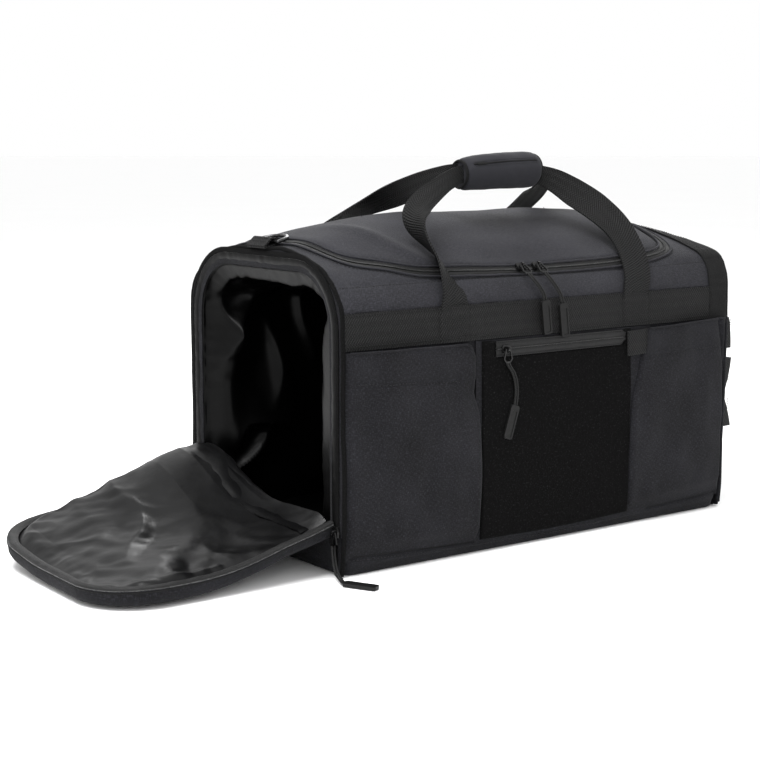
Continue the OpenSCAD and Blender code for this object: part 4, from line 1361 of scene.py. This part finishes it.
def make_tunnel():
    """The shoe compartment's satin lining: an arch-shaped tube that has dropped into folds."""
    n, m = 330, 150
    base = arch(-0.8, 7, n)
    d = np.concatenate([np.linspace(0, 60, 80), np.linspace(61, 214, m - 80)])
    t = unit(np.gradient(base, axis=0))
    inward = np.column_stack([t[:, 1], -t[:, 0]])
    inward = unit(smooth(inward, 13))
    y, z = base[:, None, 0] + 0 * d, base[:, None, 1] + 0 * d
    x = -HALF_L + 0.6 + 0 * y + d[None]
    D = d[None] + 0 * y
    front = ramp(0.2, 0.8, inward[:, None, 0] + 0 * y)
    rear = ramp(0.2, 0.8, -inward[:, None, 0] + 0 * y)
    roof = ramp(0.3, 0.9, -inward[:, None, 1] + 0 * y)
    here = place(x, y, z)
    folds = 4.0 * noise(here * [1, 0.6, 0.45], 46, 111) + 2.0 * noise(here * [1, 0.6, 0.5], 21, 112)
    push = (7 + folds) * ramp(0, 16, D)
    # the front wall hangs away from the frame as a curtain in two folds
    wave = 5 * noise((0, 0, z), 55, 113)
    curtain = (30 + wave) * ramp(0, 11, D) + 7 * hill(D - 0.03 * (z - 150), 12, 5)
    curtain -= 16 * hill(D, 24, 6)
    inner = ramp(95, 130, z) * ramp(285, 225, z)
    curtain += 40 * inner * ramp(20, 38, D) * ramp(120, 60, D)
    push += front * (curtain - 8) * ramp(40, 70, z + 30 * front) * ramp(300, 255, z)
    # the rear wall's folds
    ridge = 0
    for route, height, soft, side in (
            ([(-227, 292), (-227, 276), (-241, 250), (-257, 212), (-272, 172), (-272, 136),
              (-268, 103), (-258, 62)], 26, 24, 1),
            ([(-276, 300), (-268, 274), (-252, 229), (-243, 205)], 13, 15, -1),
            ([(-250, 88), (-236, 119), (-204, 120), (-160, 112)], 17, 16, 1),
            ([(-262, 58), (-235, 74), (-211, 96), (-205, 120)], 14, 13, -1),
            ([(-205, 250), (-188, 205), (-186, 160), (-196, 130)], 13, 20, 1),
            ([(-160, 290), (-150, 230), (-130, 180)], 12, 22, 1)):
        ridge += crease_line(x, z, route, height, soft, side)
    push += rear * (ridge + 2) * ramp(0, 30, D)
    # the roof sags straight below the top edge
    drape = 12 + 2.5 * noise(here * [1, 1, 0.4], 40, 114) + 1.4 * noise(here, 15, 115)
    push += roof * drape * ramp(0, 12, D) - roof * 2 * hill(D, 19, 6)
    push += roof * 12 * ramp(40, 120, D)
    pucker = 1.7 * noise((y, z, 0), 12, 116) * np.exp(-D / 14) * ramp(0, 3, D)
    push += pucker
    low = ramp(7, 46, z)
    P = place(x, y + inward[:, None, 0] * push * (0.35 + 0.65 * low), z + inward[:, None, 1] * push)
    P[..., 0] += 5 * (noise(here, 60, 117)) * ramp(10, 60, D)
    # its first few millimetres turn out over the frame and are sewn to the zip's tape
    skirt = []
    for grow, at in ((13.6, -3.4), (10.5, -4.3), (6.0, -3.6), (1.5, -1.2)):
        ring = arch(grow, 7, n)
        q = np.column_stack([np.full(n, -HALF_L + at), ring])
        q[:, 0] -= 0.5 * noise(q, 9, 121)
        skirt.append(q)
    P = np.concatenate([np.stack(skirt, 1), P], 1)
    tube = Piece().cloth(P, 0.6)
    cy, v = lattice(np.linspace(-128, 128, 110), np.linspace(0, 1, 120))
    crown = 250 + np.sqrt(np.clip(60.0**2 - np.clip(np.abs(cy) - 68.5, 0, 60) ** 2, 4, None))
    cz = 8 + (crown - 8) * v
    cap = place(-66.0, cy, cz)
    rimmed = np.minimum(128 - np.abs(cy), crown - cz)
    sway = 6 * noise(cap * [1, 1, 0.5], 75, 118) + 2.5 * noise(cap * [1, 1, 0.6], 28, 122)
    cap[..., 0] += sway * ramp(0, 30, rimmed)
    cap[..., 0] -= 14 * ramp(0, 90, rimmed)
    tube.cloth(cap, 0.6, out=-1)
    fx, fy = lattice(np.linspace(-276, -62, 100), np.linspace(-127, 127, 110))
    fz = 11 + 2.5 * noise((fx, fy, 0), 50, 119) + 1.2 * noise((fx, fy, 0), 17, 120)
    fz += 10 * hill(np.abs(fy), 127, 9)
    tube.cloth(place(fx, fy, fz), 0.6)
    # The lining's finish is the satin darkened: painted shade inside the tunnel.
    tube.make("tunnel_cloth", "satin_painted_shade", ["shoe_tunnel_liner"])


def make_main_lining():
    """The main compartment's lining: four walls and a floor inside the shell."""
    lining = Piece()
    x, s = lattice(np.linspace(-54, 273, 110), np.linspace(0.9, 6.3, 60))
    for index, way in ((s, 1), (ROUND - s, -1)):
        p = skin(x, index, -4.6)
        p[..., 1] += way * noise(p, 35, 131)
        lining.cloth(p, 0.5, out=-way)
    y, z = lattice(np.linspace(-144, 144, 90), np.linspace(10, 292, 90))
    for at, bow, out in ((272.0, -1, -1), (-53.0, 1, 1)):
        p = place(at, y, z)
        p[..., 0] += bow * (2 + 2 * noise(p, 50, 132) + 0.8 * noise(p, 18, 133))
        lining.cloth(p, 0.5, out=out)
    x, y = lattice(np.linspace(-53, 272, 90), np.linspace(-144, 144, 90))
    p = place(x, y, 10.0)
    p[..., 2] += 1.2 * noise(p, 45, 134)
    lining.cloth(p, 0.5)
    lining.make("main_lining_cloth", "satin", ["main_lining"])


# The door's reach from its hinge, half its width, and its corners' radius
DOOR_FAR, DOOR_SIDE, DOOR_ROUND = 263.0, 139.0, 69.0


def door_edge(inset, count):
    """The door's outline (a, b): a from the hinge, b across, front side first."""
    far, side, r = DOOR_FAR - inset, DOOR_SIDE - inset, DOOR_ROUND - inset
    q = np.radians(np.linspace(-90, 0, 16))
    corner = np.column_stack([far - r + r * np.cos(q), -side + r + r * np.sin(q)])
    pts = np.vstack([[3, -side], corner, (corner * [1, -1])[::-1], [3, side]])
    return even(pts, count)


def on_door(a, b, z):
    """Points over the open door: a from its hinge, b across."""
    return place(-DOOR_X - a, b, z)


def door_top_z(a, b):
    """The open door's upper edge: it slopes to the floor, bows, and stands higher at the rear."""
    bow = 3 + 10 * ramp(20, -125, b)
    line = 57.5 - 0.137 * a - bow * np.sin(np.pi * np.clip(a, 0, 266) / 266)
    lift = np.interp(a, [0, 20, 50, 90, 130, 190, 263], [7, 10, 12, 12, 12, 12, 12])
    return line + lift * ramp(0, 139, b) + 1.4 * np.sin(a / 27.0) * ramp(20, 70, a) * ramp(-60, -139, b)


def underside(a, p):
    """Height of the open door's lower face, held just off the floor."""
    return np.maximum(door_top_z(a, p[..., 1]) - 17.8 + 1.5 * noise(p, 60, 141), 0.3)


def liner_rise(a, b):
    """The quilted lining stands up along the rear side near the hinge."""
    high = np.interp(a, [0, 14, 40, 78, 125, 185, 230], [22, 34, 38, 36, 26, 13, 3])
    return high * ramp(-70, 118, b) ** 1.5 * ramp(138, 122, b)


EDGE_POINTS = 420


def make_door():
    """The door's outer cloth: a shallow tray that lies open on the floor, and its hinge side."""
    # each level of the tray is the outline moved in, and dropped below the upper edge
    edges = [(0.0, -1.2), (-0.5, -3.0), (0.2, -8.0), (0.6, -12.0), (2.5, -15.5), (7.0, -17.2), (16.0, -17.6)]
    levels = []
    for inset, drop in edges:
        e = door_edge(inset, EDGE_POINTS)
        z = door_top_z(*e.T) + drop
        bag = -3.5 * hill(e[:, 0], 60, 70) if drop < -6 else 0
        levels.append(place(-DOOR_X - e[:, 0], e[:, 1], np.maximum(z - bag, 0.3)))
    P = np.stack(levels, 1)
    core = on_door(np.clip(-DOOR_X - P[:, -1, 0], 80, 190), 0, P[:, -1, 2])
    k = np.linspace(0, 1, 12)[1:]
    low = P[:, -1, None] * (1 - k[None, :, None]) + core[:, None] * k[None, :, None]
    a = -DOOR_X - low[..., 0]
    low[..., 2] = underside(a, low)
    P = np.concatenate([P, low], 1)
    P[:, 2:6] += 0.7 * noise(P[:, 2:6] * [1, 1, 0.3], 14, 142)[..., None] * [0.6, 1, 0]
    P[..., 2] = np.maximum(P[..., 2], 0.2)
    shell = Piece().cloth(P, 1.3, out=-1)
    b = np.linspace(-126, 126, 60)
    fan = np.stack([place(-283 - 79 * k + 0 * b, b * (1 - k), 0) for k in np.linspace(0, 0.995, 24)], 1)
    fan[..., 2] = underside(-DOOR_X - fan[..., 0], fan)
    shell.cloth(fan, 1.3, out=-1)
    b = np.linspace(-138, 138, 60)
    hz = door_top_z(3 + 0 * b, b)
    wall = np.stack([place(-283.4, b, hz - 1 - k * 15) for k in np.linspace(0, 1, 5)], 1)
    shell.cloth(wall, 1.3)
    shell.make("door_cloth", "body_cloth", ["door_panel", "door_gusset"], body="door")


def make_door_zip():
    """Coated tape round the door's edge, with its coil and a narrow lip."""
    ring = []
    for inset, up in ((-0.6, -1.6), (-0.2, 0.2), (1.5, 0.7), (4.0, 0.4), (7.0, -0.4), (9.5, -2.6)):
        e = door_edge(inset, EDGE_POINTS)
        z = door_top_z(*e.T) + up
        ring.append(on_door(*e.T, z))
    T = np.stack(ring, 1)
    T[:, 2:5, 2] += 0.5 * noise(T[:, 2:5], 13, 143)
    Piece().cloth(T, 1.1).make("door_tape", "zip_cloth", ["door_zip_tape"], body="door")
    e = door_edge(-1.2, 1400)
    z = door_top_z(*e.T) - 1.4
    coil = on_door(*e.T, z)
    side = unit(place(-np.gradient(coil[:, 1]), np.gradient(coil[:, 0]), 0))
    side *= np.sign(np.sum(side * (coil - [-400, 0, 40]), 1, keepdims=True))
    # The coil's finish carries painted glints.
    teeth(coil, side + [0, 0, 0.6], 0.85).make("door_coil", "painted_glint_coil", body="door")
    welt = place(-DOOR_X - e[::4, 0], e[::4, 1], z[::4] - 2.2)
    Piece().tube(welt, 1.0, 8).make("door_lip", "binding", body="door")


def make_door_lining():
    """The satin lining, sewn down inside the tape and puckered along that seam."""
    far, side, r = DOOR_FAR - 8, DOOR_SIDE - 8, DOOR_ROUND - 8
    u = np.sin(np.linspace(0.02, np.pi / 2, 90))
    u = np.concatenate([np.linspace(6, 190, 190), 190 + (far - 190) * u])
    v = np.sin(np.linspace(-np.pi / 2, np.pi / 2, 260)) * 0.35 + np.linspace(-1, 1, 260) * 0.65
    flat = far - r
    half = np.where(u > flat, side - r + np.sqrt(np.clip(r * r - (u - flat) ** 2, 0, None)), side)
    A, B = u[:, None] + 0 * v, half[:, None] * v[None]
    bent = np.hypot(np.clip(A - flat, 0, None), np.clip(np.abs(B) - (side - r), 0, None))
    margin = np.clip(np.where(A > flat, r - bent, side - np.abs(B)), 0, None)
    here = place(A, B, 0)
    turn = place(A * 0.82 + B * 0.57, -A * 0.57 + B * 0.82, 0)
    bend = turn + 14 * place(noise(here, 70, 150), noise(here, 70, 151), 0)
    ridged = 1 - np.hypot(noise(bend * [1, 0.42, 1], 50, 152), 0.07) * 2.3
    fine = 1 - np.hypot(noise(bend * [0.5, 1, 1], 36, 153), 0.07) * 2.3
    calm = 0.25 + 0.75 * ramp(95, 175, A + 0.35 * np.abs(B + 20)) + 0.5 * ramp(-60, -120, B)
    ridges = 3.8 * np.clip(ridged, -0.5, 1) + np.clip(fine, -0.5, 1) + 0.9 * noise(bend, 18, 155)
    lift = 5.5 * noise(here, 120, 154) + ridges * calm
    around = np.arctan2(B, A - 120) * 120
    lift += 2.2 * noise((around, margin * 0.3, 0), 11, 156) * np.exp(-margin / 13)
    z = door_top_z(A, B) - 2.2 + (lift - 1.5) * ramp(0, 16, margin) - 2.6 * np.exp(-margin / 5)
    z += liner_rise(A, B) * ramp(0, 12, margin) + 3.5 * ramp(0, 60, margin)
    z += 9 * np.exp(-A / 22)
    P = on_door(A, B, z)
    Piece().cloth(P, 0.8, out=-1).make("door_lining", "satin", ["door_liner", "door_foam"], body="door")
    return P


def make_hinge_lining(door):
    """Satin that runs from the compartment's floor over the hinge on to the door."""
    b = np.linspace(-127, 127, 130)
    take = np.interp(b, door[4, :, 1], door[4, :, 2])
    take2 = np.interp(b, door[22, :, 1], door[22, :, 2])
    crest = np.maximum(take + 1.5, 61 + 24 * ramp(-60, 125, b) + 1.2 * noise((b, 0, 0), 30, 161))
    lines = []
    for i, y in enumerate(b):
        x2 = door[22, 0, 0]
        pts = [(-254, y, 12.5), (-266, y, 22), (-274, y, 40), (-280, y, crest[i] - 5), (-286.5, y, crest[i]),
               (-293, y, take2[i] + 2.5), (x2, y, take2[i] + 0.9), (x2 - 8, y, take2[i] - 1.5)]
        lines.append(spline(np.array(pts, float), 40))
    P = np.array(lines)
    P[..., 2] += 1.6 * noise(P * [1, 0.8, 0.4], 22, 162) * ramp(0, 10, 127 - np.abs(P[..., 1]))
    P[..., 0] += 1.2 * noise(P * [0.3, 1, 0.3], 17, 163)
    o = Piece().cloth(P, 0.7).make("hinge_lining", "satin", body=None)
    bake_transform(o)


def make_lid_hinge():
    """The strip of cloth the lid folds back on."""
    x = np.linspace(-250, 222, 160)
    P = strip(x, np.linspace(13.55, 14.45, 14), -1.6)
    o = Piece().cloth(P, 0.9).make("lid_hinge_cloth", "body_cloth", body=None)
    mid = skin(0, LID_REAR_INDEX)
    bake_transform(o)


make_left_end()
make_left_piping()
make_frame_zip()
make_lid_hinge()
make_tunnel()
make_main_lining()
make_door()
make_door_zip()
make_hinge_lining(make_door_lining())
